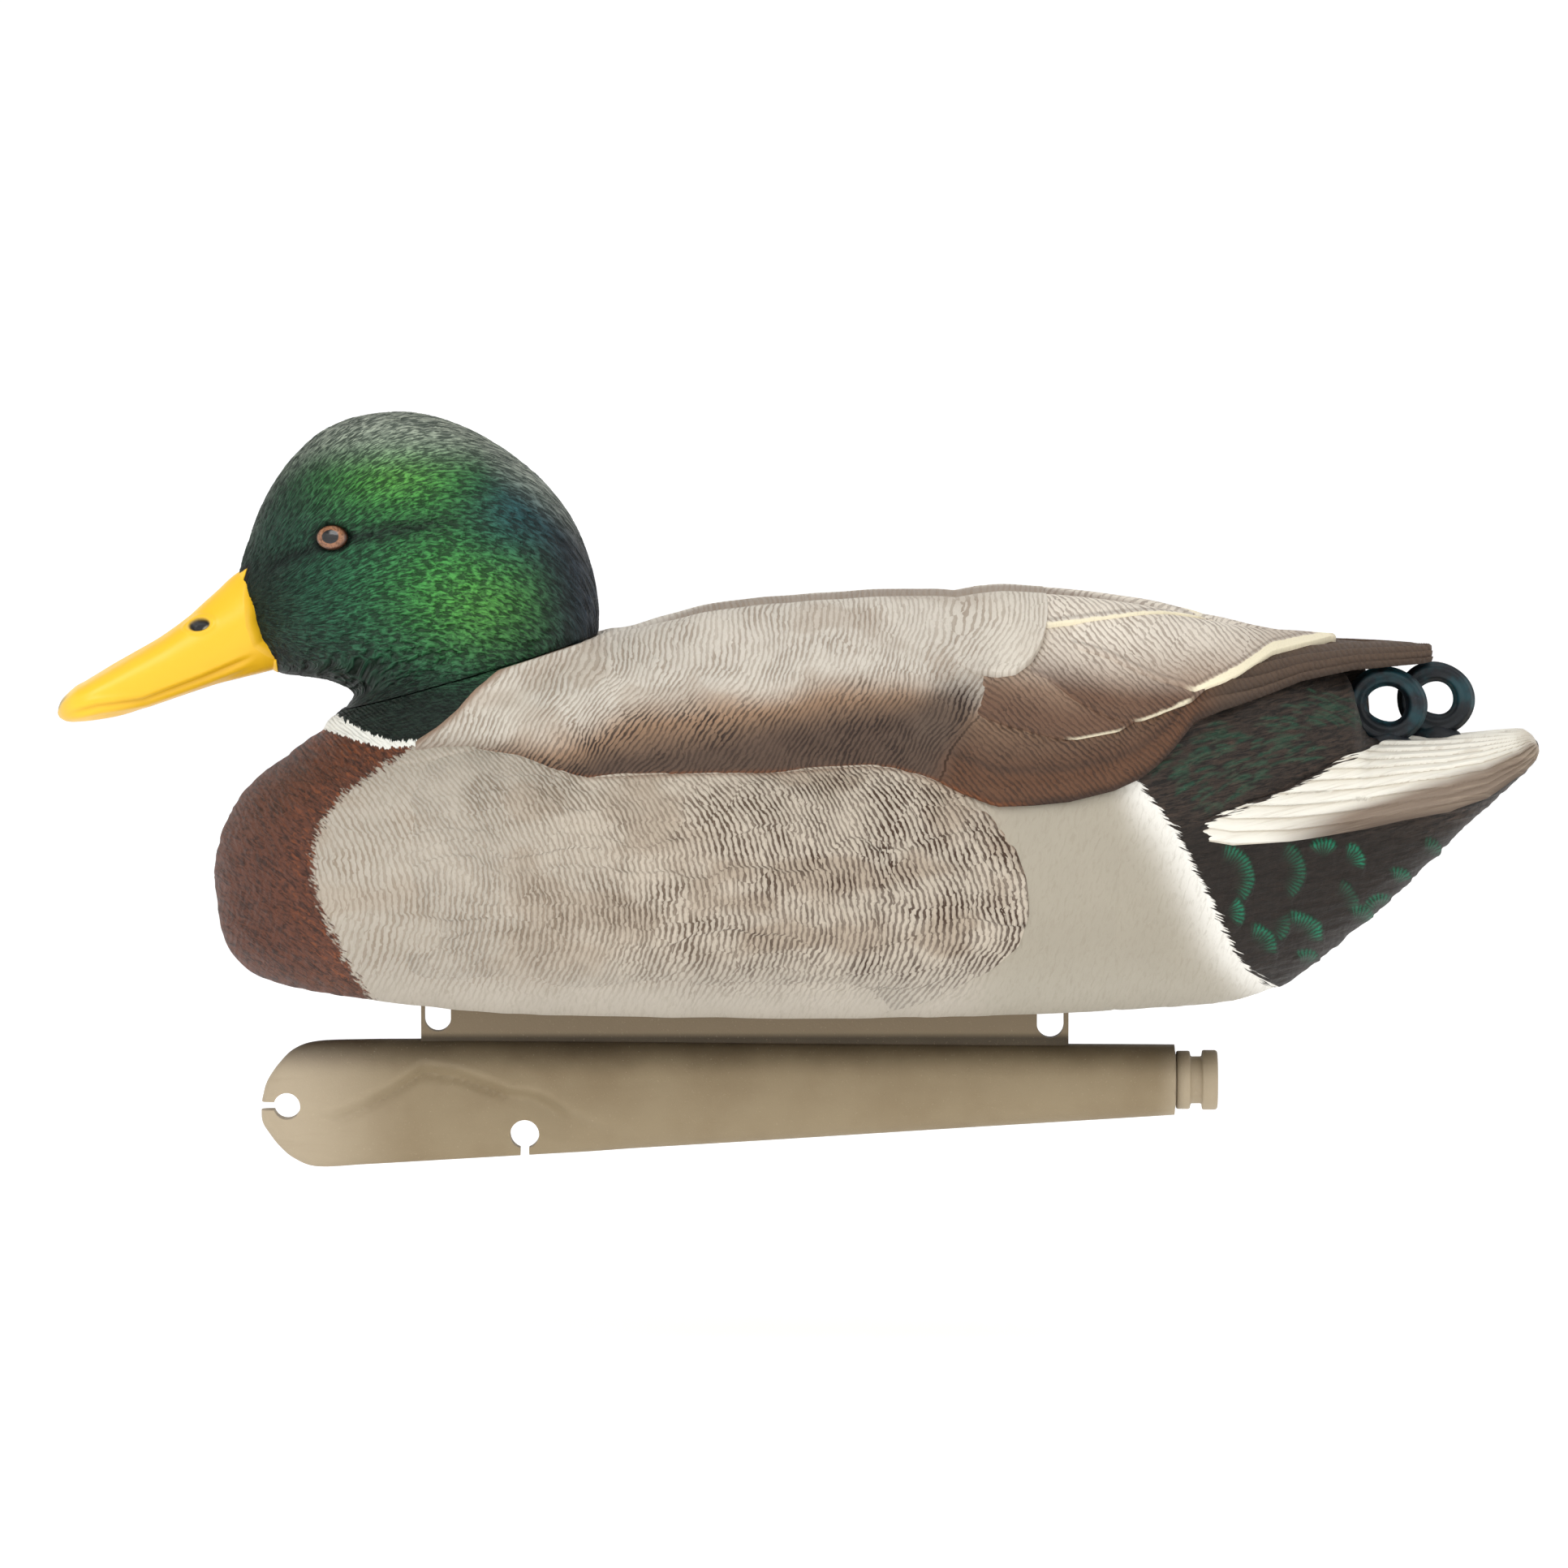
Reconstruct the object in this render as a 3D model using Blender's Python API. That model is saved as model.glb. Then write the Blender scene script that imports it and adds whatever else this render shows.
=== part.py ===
"""Floating drake mallard decoy: hollow moulded hull, swivelling low head with a
separate bill and set-in eyes, two soft tail curls and a weight-forward keel
with line-tie keyholes, a ballast slug and a pull-out plug.

Frame (metres): bill towards -X, tail towards +X, the bird's left side towards
-Y, +Z up.  The origin lies on the waterline above the middle of the keel.
"""
import bpy
import bmesh
import math
import numpy as np
from mathutils import Matrix, Vector

MM = 0.001
GAP = 0.30                      # clearance between neighbouring pieces, mm

# ---------------------------------------------------------------- dimensions
# Hull stations: x, top, bottom, half width, height of the widest line (mm)
HULL = [
    (-151.6, 27.0,   3.0, 14.0, 15.0),
    (-147.5, 35.5,  -6.5, 27.0, 16.0),
    (-140.0, 44.0, -11.5, 40.0, 17.0),
    (-130.0, 51.0, -14.5, 51.0, 19.0),
    (-117.0, 56.0, -16.5, 60.0, 21.0),
    (-100.0, 60.5, -18.6, 68.0, 23.0),
    (-80.0,  67.0, -20.4, 74.5, 25.0),
    (-60.0,  74.5, -21.4, 79.0, 27.0),
    (-40.0,  82.3, -22.0, 81.5, 29.0),
    (-10.0,  89.3, -22.3, 83.0, 30.0),
    (30.0,   92.4, -22.3, 83.0, 31.0),
    (70.0,   92.6, -21.4, 79.0, 33.0),
    (100.0,  89.6, -20.0, 71.0, 36.0),
    (125.0,  84.0, -18.2, 60.0, 40.0),
    (140.0,  80.2, -13.5, 52.5, 42.5),
    (149.0,  76.5,  -7.2, 48.0, 43.0),
    (155.0,  68.5,  -2.6, 45.5, 42.0),
    (159.5,  59.8,   1.2, 43.8, 41.0),
    (164.0,  54.6,   5.2, 42.0, 40.5),
    (170.0,  52.8,  10.6, 40.0, 41.0),
    (182.0,  52.4,  22.4, 36.5, 43.0),
    (194.0,  53.0,  34.0, 32.0, 46.5),
    (204.0,  53.8,  43.0, 26.0, 49.5),
]
HULL_NOSE = (-153.4, 15.5)      # foremost point of the breast
HULL_TAIL = (210.6, 52.0)       # rearmost point of the tail
HULL_WALL = 3.0
HULL_RING = 32
HULL_FINE = 2                   # rings per station

# Folded wing tips: x, top, bottom, half width
WINGTIP = [
    (122.0, 80.0, 68.0, 42.0),
    (136.0, 80.6, 68.8, 41.0),
    (150.0, 80.6, 72.2, 34.0),
    (165.0, 80.1, 74.3, 24.0),
    (176.0, 79.8, 75.7, 15.0),
    (181.7, 79.2, 76.6, 9.0),
]

# Neck joint
NECK = (-82.5, 0.0, 72.4)       # centre of the neck seat
NECK_TILT = 16.4                # the seat rises this many degrees rearwards
STUMP = [(0.0, 36.2, 29.0), (-4.0, 37.4, 31.5), (-10.0, 40.0, 38.0),
         (-18.0, 43.0, 46.0), (-26.0, 40.0, 46.0)]
STUMP_RING = 36
SPIGOT_R = 22.0
SPIGOT_BORE_R = 18.0
SPIGOT_LEN = 18.0
BOSS_DEPTH = 11.5               # thickness of the hull around the spigot
BOSS_R = 30.0
RETAINER = (22.3, 27.0, -15.2, -12.1)   # inner r, outer r, low, high

# Head rings above the seat: height, front, rear, half width, face pinch
HEAD = [
    (0.3,  -36.0, 36.3, 28.8, 0.00),
    (2.8,  -32.4, 37.4, 27.8, 0.00),
    (6.2,  -34.6, 38.3, 27.2, 0.05),
    (9.6,  -39.6, 39.0, 27.0, 0.14),
    (12.4, -46.0, 39.4, 27.0, 0.26),
    (15.5, -51.6, 39.7, 27.0, 0.34),
    (22.0, -55.0, 39.7, 26.8, 0.38),
    (30.0, -56.4, 38.9, 26.4, 0.38),
    (38.0, -56.2, 36.6, 25.8, 0.36),
    (46.0, -54.0, 32.9, 24.8, 0.32),
    (53.0, -49.4, 28.2, 23.2, 0.26),
    (59.0, -44.8, 23.2, 20.8, 0.20),
    (64.3, -39.8, 17.8, 17.6, 0.14),
    (69.4, -33.4, 10.9, 13.0, 0.08),
    (73.6, -25.4,  2.6, 7.2, 0.00),
]
HEAD_CROWN = (75.9, -12.0)
HEAD_WALL = 3.5
HEAD_RING = 28
HEAD_CAVITY_LOW = (3.6, -32.6, 37.5, 27.6, 0.00)
HEAD_CAVITY_FRONT = -46.0

# Bill: distance from the root, upper edge, lower edge, half width, roundness
BILL_ROOT = (-140.8, 0.0, 87.2)
BILL_DIP = 24.3                 # degrees below the horizontal
BILL = [
    (0.0,  13.2, -14.8, 10.2, 0.90),
    (3.0,  12.6, -14.6, 10.2, 0.90),
    (7.0,  11.2, -14.0, 10.2, 0.90),
    (13.0,  9.3, -12.9, 9.9, 0.85),
    (18.0,  7.7, -12.1, 9.7, 0.80),
    (27.0,  5.9, -11.2, 10.0, 0.70),
    (36.0,  5.0, -10.3, 10.9, 0.65),
    (45.0,  4.2, -9.1, 11.8, 0.60),
    (52.0,  3.5, -7.4, 11.6, 0.60),
    (57.0,  2.1, -5.8, 9.4, 0.60),
    (60.0,  0.4, -4.2, 6.0, 0.60),
]
BILL_TIP = (61.5, -1.9)
BILL_RING = 20
TENON = (6.0, 5.0, 6.0)         # half width, half height, length

# Eyes, given by their place in the side view
EYE_X, EYE_Z = -119.8, 110.2
EYE_RX, EYE_RY, EYE_RZ = 4.4, 1.9, 3.4
EYE_SINK = 0.4                  # centre of the eye below the face surface
EYE_GAP = 0.2
EYE_TOE = 16.0                  # degrees the eye turns towards the bill
EYE_LEAN = 10.0                 # degrees it looks up

# Tail curls: centre x, side y, centre z, loop radius, tube radius
CURLS = [("tail_curl_left", 169.8, -7.0, 63.6, 7.6, 2.5),
         ("tail_curl_right", 183.3, 7.0, 64.4, 7.6, 2.5)]
CURL_PEG_R = 1.9
CURL_PEG_HOLE_R = 2.2
CURL_PEG_LOW = 47.5

# Keel: x, top, bottom, half thickness of the back, half thickness of the foot
KEEL = [
    (-140.5, -45.2, -52.8, 3.4, 3.4),
    (-138.9, -40.8, -54.2, 4.2, 4.2),
    (-135.7, -36.0, -58.8, 4.6, 4.6),
    (-131.4, -31.9, -62.4, 5.0, 4.8),
    (-125.0, -29.8, -64.6, 5.6, 4.8),
    (-112.0, -29.3, -64.0, 6.8, 4.8),
    (-98.0,  -29.2, -63.2, 8.2, 4.8),
    (-86.0,  -29.2, -62.5, 9.2, 4.8),
    (-74.0,  -29.3, -61.8, 9.8, 5.0),
    (-62.0,  -29.4, -61.1, 10.1, 5.4),
    (-50.0,  -29.5, -60.4, 10.2, 7.6),
    (-36.0,  -29.6, -59.4, 10.2, 9.6),
    (0.0,    -30.0, -57.2, 10.1, 10.1),
    (55.0,   -30.5, -53.7, 10.0, 10.0),
    (107.5,  -30.8, -50.4, 9.8, 9.8),
    (111.5,  -32.2, -49.0, 8.4, 8.4),
]
KEEL_RING = 24
FIN_HALF_T = 4.0                # the pinched fin is flat at this half thickness
FIN_FLAT = (-119.0, -37.5)      # rear and top edge of the flat by the nose
DISH_R = 9.5                    # flat dish around the lower keyhole
BORE_R = 7.4
BORE_Z = -40.6
BORE_FRONT_X = -50.0
KEYHOLE_FRONT = (-133.4, -47.6, 3.7, 1.15)   # x, z, hole radius, half slot
KEYHOLE_LOWER = (-67.9, -55.4, 4.0, 1.20)
WEB_HALF_T = 2.5
WEB = [(-96.4, -33.0), (82.0, -33.0), (82.0, -20.8), (-78.0, -20.8),
       (-88.0, -20.2), (-96.4, -19.4)]
WEB_SEAT_Z = -20.5              # roof of the shallow slot in the hull floor
TIE_FRONT = (-91.8, -23.4, 3.6)              # x, z, radius of the tie slots
TIE_REAR = (77.0, -25.1, 3.7)

# Ballast, plug and its seal, measured along the keel bore
BALLAST_X0, BALLAST_X1, BALLAST_R = -48.6, 42.0, 7.0
PLUG = [(0.0, 92.0), (7.1, 92.0), (7.1, 99.9), (5.3, 99.9), (5.3, 102.1),
        (7.1, 102.1), (7.1, 111.8), (8.05, 111.8), (8.05, 115.4),
        (6.5, 115.8), (6.5, 118.6), (8.25, 119.0), (8.25, 122.6),
        (7.8, 123.1), (0.0, 123.1)]
SEAL_X, SEAL_MAJOR, SEAL_MINOR = 101.0, 6.3, 0.80


# ------------------------------------------------------------------- helpers
for old in list(bpy.data.objects):
    bpy.data.objects.remove(old, do_unlink=True)

main = bpy.data.collections.new("mallard_decoy")
bpy.context.scene.collection.children.link(main)
tools = bpy.data.collections.new("cutters")
bpy.context.scene.collection.children.link(tools)


def material(name, colour, rough, metal=0.0):
    m = bpy.data.materials.new(name)
    m.use_nodes = True
    b = m.node_tree.nodes["Principled BSDF"]
    b.inputs["Base Color"].default_value = (*colour, 1.0)
    b.inputs["Roughness"].default_value = rough
    b.inputs["Metallic"].default_value = metal
    return m


def add(name, bm, mat=None, collection=None, smooth=True):
    bmesh.ops.recalc_face_normals(bm, faces=bm.faces[:])
    me = bpy.data.meshes.new(name)
    bm.to_mesh(me)
    bm.free()
    if smooth:
        me.polygons.foreach_set("use_smooth", [True] * len(me.polygons))
    ob = bpy.data.objects.new(name, me)
    (collection or main).objects.link(ob)
    if mat is not None:
        me.materials.append(mat)
    return ob


def cutter(name, bm):
    ob = add(name, bm, None, tools, smooth=False)
    ob.hide_render = True
    ob.display_type = "WIRE"
    return ob


def boolean(ob, other, op="DIFFERENCE"):
    m = ob.modifiers.new(op.lower() + "_" + other.name, "BOOLEAN")
    m.operation = op
    m.solver = "EXACT"
    m.object = other
    return m


def set_origin(ob, point_mm):
    p = Vector(point_mm) * MM
    ob.data.transform(Matrix.Translation(-p))
    ob.location = p


def loft(rings, start=None, end=None):
    """Skin closed rings of equal count; the ends close on a point or a cap."""
    bm = bmesh.new()
    rows = [[bm.verts.new(p) for p in r] for r in rings]
    n = len(rows[0])
    for a, b in zip(rows, rows[1:]):
        for i in range(n):
            j = (i + 1) % n
            bm.faces.new((a[i], a[j], b[j], b[i]))
    for row, tip in ((rows[0], start), (rows[-1], end)):
        if tip is None:
            bm.faces.new(row)
        else:
            t = bm.verts.new(tip)
            for i in range(n):
                bm.faces.new((row[i], row[(i + 1) % n], t))
    return bm


def finer(rows, per):
    """Catmull-Rom rows between the given stations."""
    r = np.array(rows, dtype=float)
    out = []
    for i in range(len(r) - 1):
        p0, p1, p2 = r[max(i - 1, 0)], r[i], r[i + 1]
        p3 = r[min(i + 2, len(r) - 1)]
        for k in range(per):
            t = k / per
            out.append(0.5 * (2 * p1 + (p2 - p0) * t
                              + (2 * p0 - 5 * p1 + 4 * p2 - p3) * t * t
                              + (3 * p1 - p0 - 3 * p2 + p3) * t ** 3))
    out.append(r[-1])
    return [[float(v) for v in row] for row in out]


def spow(v, p):
    return math.copysign(abs(v) ** p, v)


def box(x0, x1, y0, y1, z0, z1, matrix=None):
    bm = bmesh.new()
    bmesh.ops.create_cube(bm, size=1.0)
    for v in bm.verts:
        v.co.x = (x0 + (v.co.x + 0.5) * (x1 - x0)) * MM
        v.co.y = (y0 + (v.co.y + 0.5) * (y1 - y0)) * MM
        v.co.z = (z0 + (v.co.z + 0.5) * (z1 - z0)) * MM
    if matrix is not None:
        bmesh.ops.transform(bm, matrix=matrix, verts=bm.verts[:])
    return bm


def rod(radius, a, b, seg=32, matrix=None):
    """Cylinder along local +Z from height a to b (mm)."""
    bm = bmesh.new()
    bmesh.ops.create_cone(bm, cap_ends=True, segments=seg, radius1=radius * MM,
                          radius2=radius * MM, depth=(b - a) * MM)
    bmesh.ops.translate(bm, verts=bm.verts[:], vec=(0, 0, (a + b) / 2 * MM))
    if matrix is not None:
        bmesh.ops.transform(bm, matrix=matrix, verts=bm.verts[:])
    return bm


def lathe(profile, matrix, seg=32):
    """Solid or ring turned about local Z from (radius, height) corners, mm."""
    bm = bmesh.new()
    rows = []
    for r, h in profile:
        if r < 1e-6:
            rows.append([bm.verts.new((0, 0, h * MM))])
        else:
            rows.append([bm.verts.new((r * MM * math.cos(2 * math.pi * i / seg),
                                       r * MM * math.sin(2 * math.pi * i / seg),
                                       h * MM)) for i in range(seg)])
    ring = len(rows[0]) > 1 and len(rows[-1]) > 1
    pairs = list(zip(rows, rows[1:])) + ([(rows[-1], rows[0])] if ring else [])
    for a, b in pairs:
        for i in range(seg):
            j = (i + 1) % seg
            if len(a) == 1:
                bm.faces.new((a[0], b[j], b[i]))
            elif len(b) == 1:
                bm.faces.new((a[i], a[j], b[0]))
            else:
                bm.faces.new((a[i], a[j], b[j], b[i]))
    bmesh.ops.transform(bm, matrix=matrix, verts=bm.verts[:])
    return bm


def torus(major, minor, matrix, seg=28, tube=10):
    prof = [(major + minor * math.cos(2 * math.pi * k / tube),
             minor * math.sin(2 * math.pi * k / tube)) for k in range(tube)]
    return lathe(prof, matrix, seg)


def prism(outline, y0, y1):
    """Straight prism along Y over an outline of (x, z) corners, mm."""
    bm = bmesh.new()
    near = [bm.verts.new((x * MM, y0 * MM, z * MM)) for x, z in outline]
    far = [bm.verts.new((x * MM, y1 * MM, z * MM)) for x, z in outline]
    bm.faces.new(near)
    bm.faces.new(far[::-1])
    for i in range(len(outline)):
        j = (i + 1) % len(outline)
        bm.faces.new((near[i], near[j], far[j], far[i]))
    return bm


def keyhole(x, z, r, half_slot, towards, reach, steps=26):
    """Round hole with a narrow slot that runs out towards one side."""
    lip = math.degrees(math.asin(half_slot / r))
    pts = []
    for k in range(steps + 1):
        a = math.radians(towards + lip + (360.0 - 2 * lip) * k / steps)
        pts.append((x + r * math.cos(a), z + r * math.sin(a)))
    c, s = math.cos(math.radians(towards)), math.sin(math.radians(towards))
    for side in (-half_slot, half_slot):
        pts.append((x + reach * c - side * s, z + reach * s + side * c))
    return pts


def at(x, y, z):
    return Matrix.Translation(Vector((x, y, z)) * MM)


# Neck frame: local X runs rearwards in the seat, local Z is the swivel axis
neck_m = at(*NECK) @ Matrix.Rotation(math.radians(-NECK_TILT), 4, "Y")
# Bill frame: local X is its upper side, local Z runs out along the bill
dip = math.radians(BILL_DIP)
bill_axis = Vector((-math.cos(dip), 0.0, -math.sin(dip)))
bill_up = Vector((-math.sin(dip), 0.0, math.cos(dip)))
bill_side = bill_axis.cross(bill_up)
bill_m = at(*BILL_ROOT) @ Matrix((
    (bill_up.x, bill_side.x, bill_axis.x, 0.0),
    (bill_up.y, bill_side.y, bill_axis.y, 0.0),
    (bill_up.z, bill_side.z, bill_axis.z, 0.0),
    (0.0, 0.0, 0.0, 1.0)))
# Bore frame: local Z runs along the keel towards the tail
bore_m = at(0, 0, BORE_Z) @ Matrix.Rotation(math.radians(90), 4, "Y")
# Cross frame: local Z runs along world Y
cross = Matrix.Rotation(math.radians(-90), 4, "X")


# ---------------------------------------------------------------------- hull
def hull_ring(x, top, low, half, wide, inset=0.0):
    pts = []
    w = half - inset
    for i in range(HULL_RING):
        a = 2 * math.pi * i / HULL_RING
        c, s = math.cos(a), math.sin(a)
        if s >= 0:
            y = w * spow(c, 0.92)
            z = wide + (top - inset - wide) * spow(s, 0.92)
        else:
            y = w * spow(c, 0.80)
            z = wide + (wide - low - inset) * spow(s, 0.72)
        pts.append((x * MM, y * MM, z * MM))
    return pts


hull = add("body_shell",
           loft([hull_ring(*r) for r in finer(HULL, HULL_FINE)],
                start=(HULL_NOSE[0] * MM, 0, HULL_NOSE[1] * MM),
                end=(HULL_TAIL[0] * MM, 0, HULL_TAIL[1] * MM)),
           material("hull_plastic", (0.62, 0.58, 0.52), 0.62))

tip_rings = []
for x, top, low, half in WINGTIP:
    tip_rings.append([
        (x * MM, half * y * MM, (low + (top - low) * z) * MM)
        for y, z in ((-1.0, 0.35), (-0.72, 0.85), (0.0, 1.0), (0.72, 0.85),
                     (1.0, 0.35), (0.86, 0.0), (0.0, 0.0), (-0.86, 0.0))])
boolean(hull, cutter("wing_tips", loft(tip_rings)), "UNION")

stump_rings = []
for h, a, b in STUMP:
    stump_rings.append([
        neck_m @ Vector((a * math.cos(2 * math.pi * i / STUMP_RING) * MM,
                         b * math.sin(2 * math.pi * i / STUMP_RING) * MM,
                         h * MM)) for i in range(STUMP_RING)])
boolean(hull, cutter("neck_stump", loft(stump_rings)), "UNION")

cavity = cutter("hull_cavity",
                loft([hull_ring(*r, inset=HULL_WALL) for r in HULL[2:21]]))
# the cavity leaves a full-thickness boss under the neck seat
boolean(cavity, cutter("neck_boss", rod(BOSS_R, -BOSS_DEPTH, 25.0, 36, neck_m)))
boolean(hull, cavity)
boolean(hull, cutter("neck_hole", rod(SPIGOT_R + GAP, -32.0, 20.0, 36, neck_m)))
boolean(hull, cutter("keel_slot", box(-98.0, 82.3, -WEB_HALF_T - GAP,
                                      WEB_HALF_T + GAP, -30.0, WEB_SEAT_Z)))

# ---------------------------------------------------------------- tail curls
curl_mat = material("soft_curl_rubber", (0.02, 0.06, 0.07), 0.55)
for name, cx, cy, cz, r, t in CURLS:
    boolean(hull, cutter(name + "_hole",
                         rod(CURL_PEG_HOLE_R, 45.5, 57.0, 20, at(cx, cy, 0))))
    curl = add(name, torus(r, t, at(cx, cy, cz) @ cross), curl_mat)
    boolean(curl, cutter(name + "_peg", rod(CURL_PEG_R, CURL_PEG_LOW,
                                            cz - r, 20, at(cx, cy, 0))),
            "UNION")


# ---------------------------------------------------------------------- head
def head_point(c, s, row, inset=0.0, front_limit=-1e9):
    h, front, rear, half, pinch = row
    f = max(front + inset, front_limit)
    r = rear - inset
    mid, a = (f + r) / 2, (r - f) / 2
    narrow = 1.0 - pinch * c * c if c < 0 else 1.0
    return Vector(((mid + a * c) * MM, (half - inset) * s * narrow * MM, h * MM))


def head_ring(row, inset=0.0, front_limit=-1e9):
    out = []
    for i in range(HEAD_RING):
        a = 2 * math.pi * i / HEAD_RING
        out.append(neck_m @ head_point(math.cos(a), math.sin(a), row, inset,
                                       front_limit))
    return out


head = add("head_shell",
           loft([head_ring(r) for r in HEAD],
                end=neck_m @ Vector((HEAD_CROWN[1] * MM, 0, HEAD_CROWN[0] * MM))),
           material("head_plastic", (0.03, 0.20, 0.08), 0.45))
boolean(head, cutter("neck_spigot", rod(SPIGOT_R, -SPIGOT_LEN, 1.5, 36, neck_m)),
        "UNION")
boolean(head, cutter("head_cavity",
                     loft([head_ring(r, HEAD_WALL, HEAD_CAVITY_FRONT)
                           for r in [HEAD_CAVITY_LOW] + HEAD[2:13]])))
boolean(head, cutter("spigot_bore", rod(SPIGOT_BORE_R, -SPIGOT_LEN - 4.0, 5.5,
                                        32, neck_m)))
# flat face that carries the bill, with a socket for its tenon
boolean(head, cutter("bill_face", box(-24.0, 24.0, -24.0, 24.0, -GAP, 24.0,
                                      bill_m)))
boolean(head, cutter("tenon_socket",
                     box(-TENON[1] - GAP, TENON[1] + GAP, -TENON[0] - GAP,
                         TENON[0] + GAP, -TENON[2] - 3.0, 2.0, bill_m)))

# The side of the head at the eye, found on the two rings around it
inv = neck_m.inverted()
eye_local = inv @ (Vector((EYE_X, 0.0, EYE_Z)) * MM)
eye_u, eye_h = eye_local.x / MM, eye_local.z / MM


def side_at(u, row):
    h, front, rear, half, pinch = row
    c = (u - (front + rear) / 2) / ((rear - front) / 2)
    return half * math.sqrt(1 - c * c) * (1 - pinch * c * c if c < 0 else 1.0)


for lower, upper in zip(HEAD, HEAD[1:]):
    if lower[0] <= eye_h <= upper[0]:
        k = (eye_h - lower[0]) / (upper[0] - lower[0])
        eye_y = side_at(eye_u, lower) * (1 - k) + side_at(eye_u, upper) * k

eye_mat = material("eye_resin", (0.16, 0.07, 0.03), 0.12)
for name, side in (("eye_left", -1.0), ("eye_right", 1.0)):
    m = (at(EYE_X, side * (eye_y - EYE_SINK), EYE_Z)
         @ Matrix.Rotation(math.radians(side * EYE_TOE), 4, "Z")
         @ Matrix.Rotation(math.radians(side * EYE_LEAN), 4, "X"))
    for tag, grow, coll in ((name, 0.0, None), (name + "_socket", EYE_GAP, 1)):
        bm = bmesh.new()
        bmesh.ops.create_uvsphere(bm, u_segments=20, v_segments=10, radius=1.0)
        scale = Matrix.Diagonal(((EYE_RX + grow) * MM, (EYE_RY + grow) * MM,
                                 (EYE_RZ + grow) * MM, 1.0))
        bmesh.ops.transform(bm, matrix=m @ scale, verts=bm.verts[:])
        if coll is None:
            set_origin(add(tag, bm, eye_mat), NECK)
        else:
            boolean(head, cutter(tag, bm))

retainer = add("neck_retainer",
               lathe([(RETAINER[0], RETAINER[2]), (RETAINER[1], RETAINER[2]),
                      (RETAINER[1], RETAINER[3]), (RETAINER[0], RETAINER[3])],
                     neck_m, 36),
               material("retainer_nylon", (0.03, 0.03, 0.03), 0.5), smooth=False)


# ---------------------------------------------------------------------- bill
def bill_ring(s, top, low, half, p):
    mid, tall = (top + low) / 2, (top - low) / 2
    out = []
    for i in range(BILL_RING):
        a = 2 * math.pi * i / BILL_RING
        out.append(bill_m @ Vector(((mid + tall * spow(math.sin(a), p)) * MM,
                                    half * spow(math.cos(a), p) * MM, s * MM)))
    return out


bill = add("bill",
           loft([bill_ring(*r) for r in BILL],
                end=bill_m @ Vector((BILL_TIP[1] * MM, 0, BILL_TIP[0] * MM))),
           material("bill_plastic", (0.85, 0.55, 0.02), 0.3))
boolean(bill, cutter("bill_tenon", box(-TENON[1], TENON[1], -TENON[0], TENON[0],
                                       -TENON[2], 1.5, bill_m)), "UNION")

for ob in (head, retainer, bill):
    set_origin(ob, NECK)


# ---------------------------------------------------------------------- keel
def keel_ring(x, top, low, back, foot):
    mid, tall = (top + low) / 2, (top - low) / 2
    out = []
    for i in range(KEEL_RING):
        a = 2 * math.pi * i / KEEL_RING
        s = math.sin(a)
        k = min(max((s + 0.45) / 0.9, 0.0), 1.0)
        k = k * k * (3 - 2 * k)
        w = foot + (back - foot) * k
        out.append((x * MM, w * spow(math.cos(a), 0.85) * MM,
                    (mid + tall * s) * MM))
    return out


keel = add("keel_shell", loft([keel_ring(*r) for r in KEEL]),
           material("keel_plastic", (0.42, 0.35, 0.25), 0.6))

boolean(keel, cutter("keel_web", prism(WEB, -WEB_HALF_T, WEB_HALF_T)), "UNION")

# the nose is pinched to a flat fin, the lower keyhole sits in a flat dish
for tag, y0, y1 in (("left", -14.0, -FIN_HALF_T), ("right", FIN_HALF_T, 14.0)):
    boolean(keel, cutter("fin_flat_" + tag,
                         box(-145.0, FIN_FLAT[0], y0, y1, -70.0, FIN_FLAT[1])))
    boolean(keel, cutter("dish_" + tag,
                         rod(DISH_R, y0, y1, 32,
                             at(KEYHOLE_LOWER[0], 0, KEYHOLE_LOWER[1]) @ cross)))

boolean(keel, cutter("keyhole_front",
                     prism(keyhole(*KEYHOLE_FRONT, 180.0, 12.6), -16.0, 16.0)))
boolean(keel, cutter("keyhole_lower",
                     prism(keyhole(*KEYHOLE_LOWER, 270.0, 14.6), -16.0, 16.0)))
for tag, (x, z, r) in (("front", TIE_FRONT), ("rear", TIE_REAR)):
    outline = [(x + r * math.cos(math.radians(a)), z + r * math.sin(math.radians(a)))
               for a in range(180, 361, 12)]
    outline += [(x + r, -12.0), (x - r, -12.0)]
    boolean(keel, cutter("tie_slot_" + tag, prism(outline, -16.0, 16.0)))
boolean(keel, cutter("keel_bore", rod(BORE_R, BORE_FRONT_X, 125.0, 32, bore_m)))

add("ballast_weight", rod(BALLAST_R, BALLAST_X0, BALLAST_X1, 28, bore_m),
    material("ballast_metal", (0.25, 0.25, 0.26), 0.5, 1.0), smooth=False)
plug = add("keel_plug", lathe(PLUG, bore_m, 32),
           material("plug_plastic", (0.42, 0.35, 0.25), 0.55), smooth=False)
seal = add("plug_seal", torus(SEAL_MAJOR, SEAL_MINOR,
                              bore_m @ at(0, 0, SEAL_X), 32, 8),
           material("seal_rubber", (0.02, 0.02, 0.02), 0.7))
for ob in (plug, seal):
    set_origin(ob, (111.8, 0.0, BORE_Z))
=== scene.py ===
"""Looks of the floating drake mallard decoy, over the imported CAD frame."""
import math
import bpy
import bmesh
import numpy as np
from mathutils import Matrix, Vector


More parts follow.
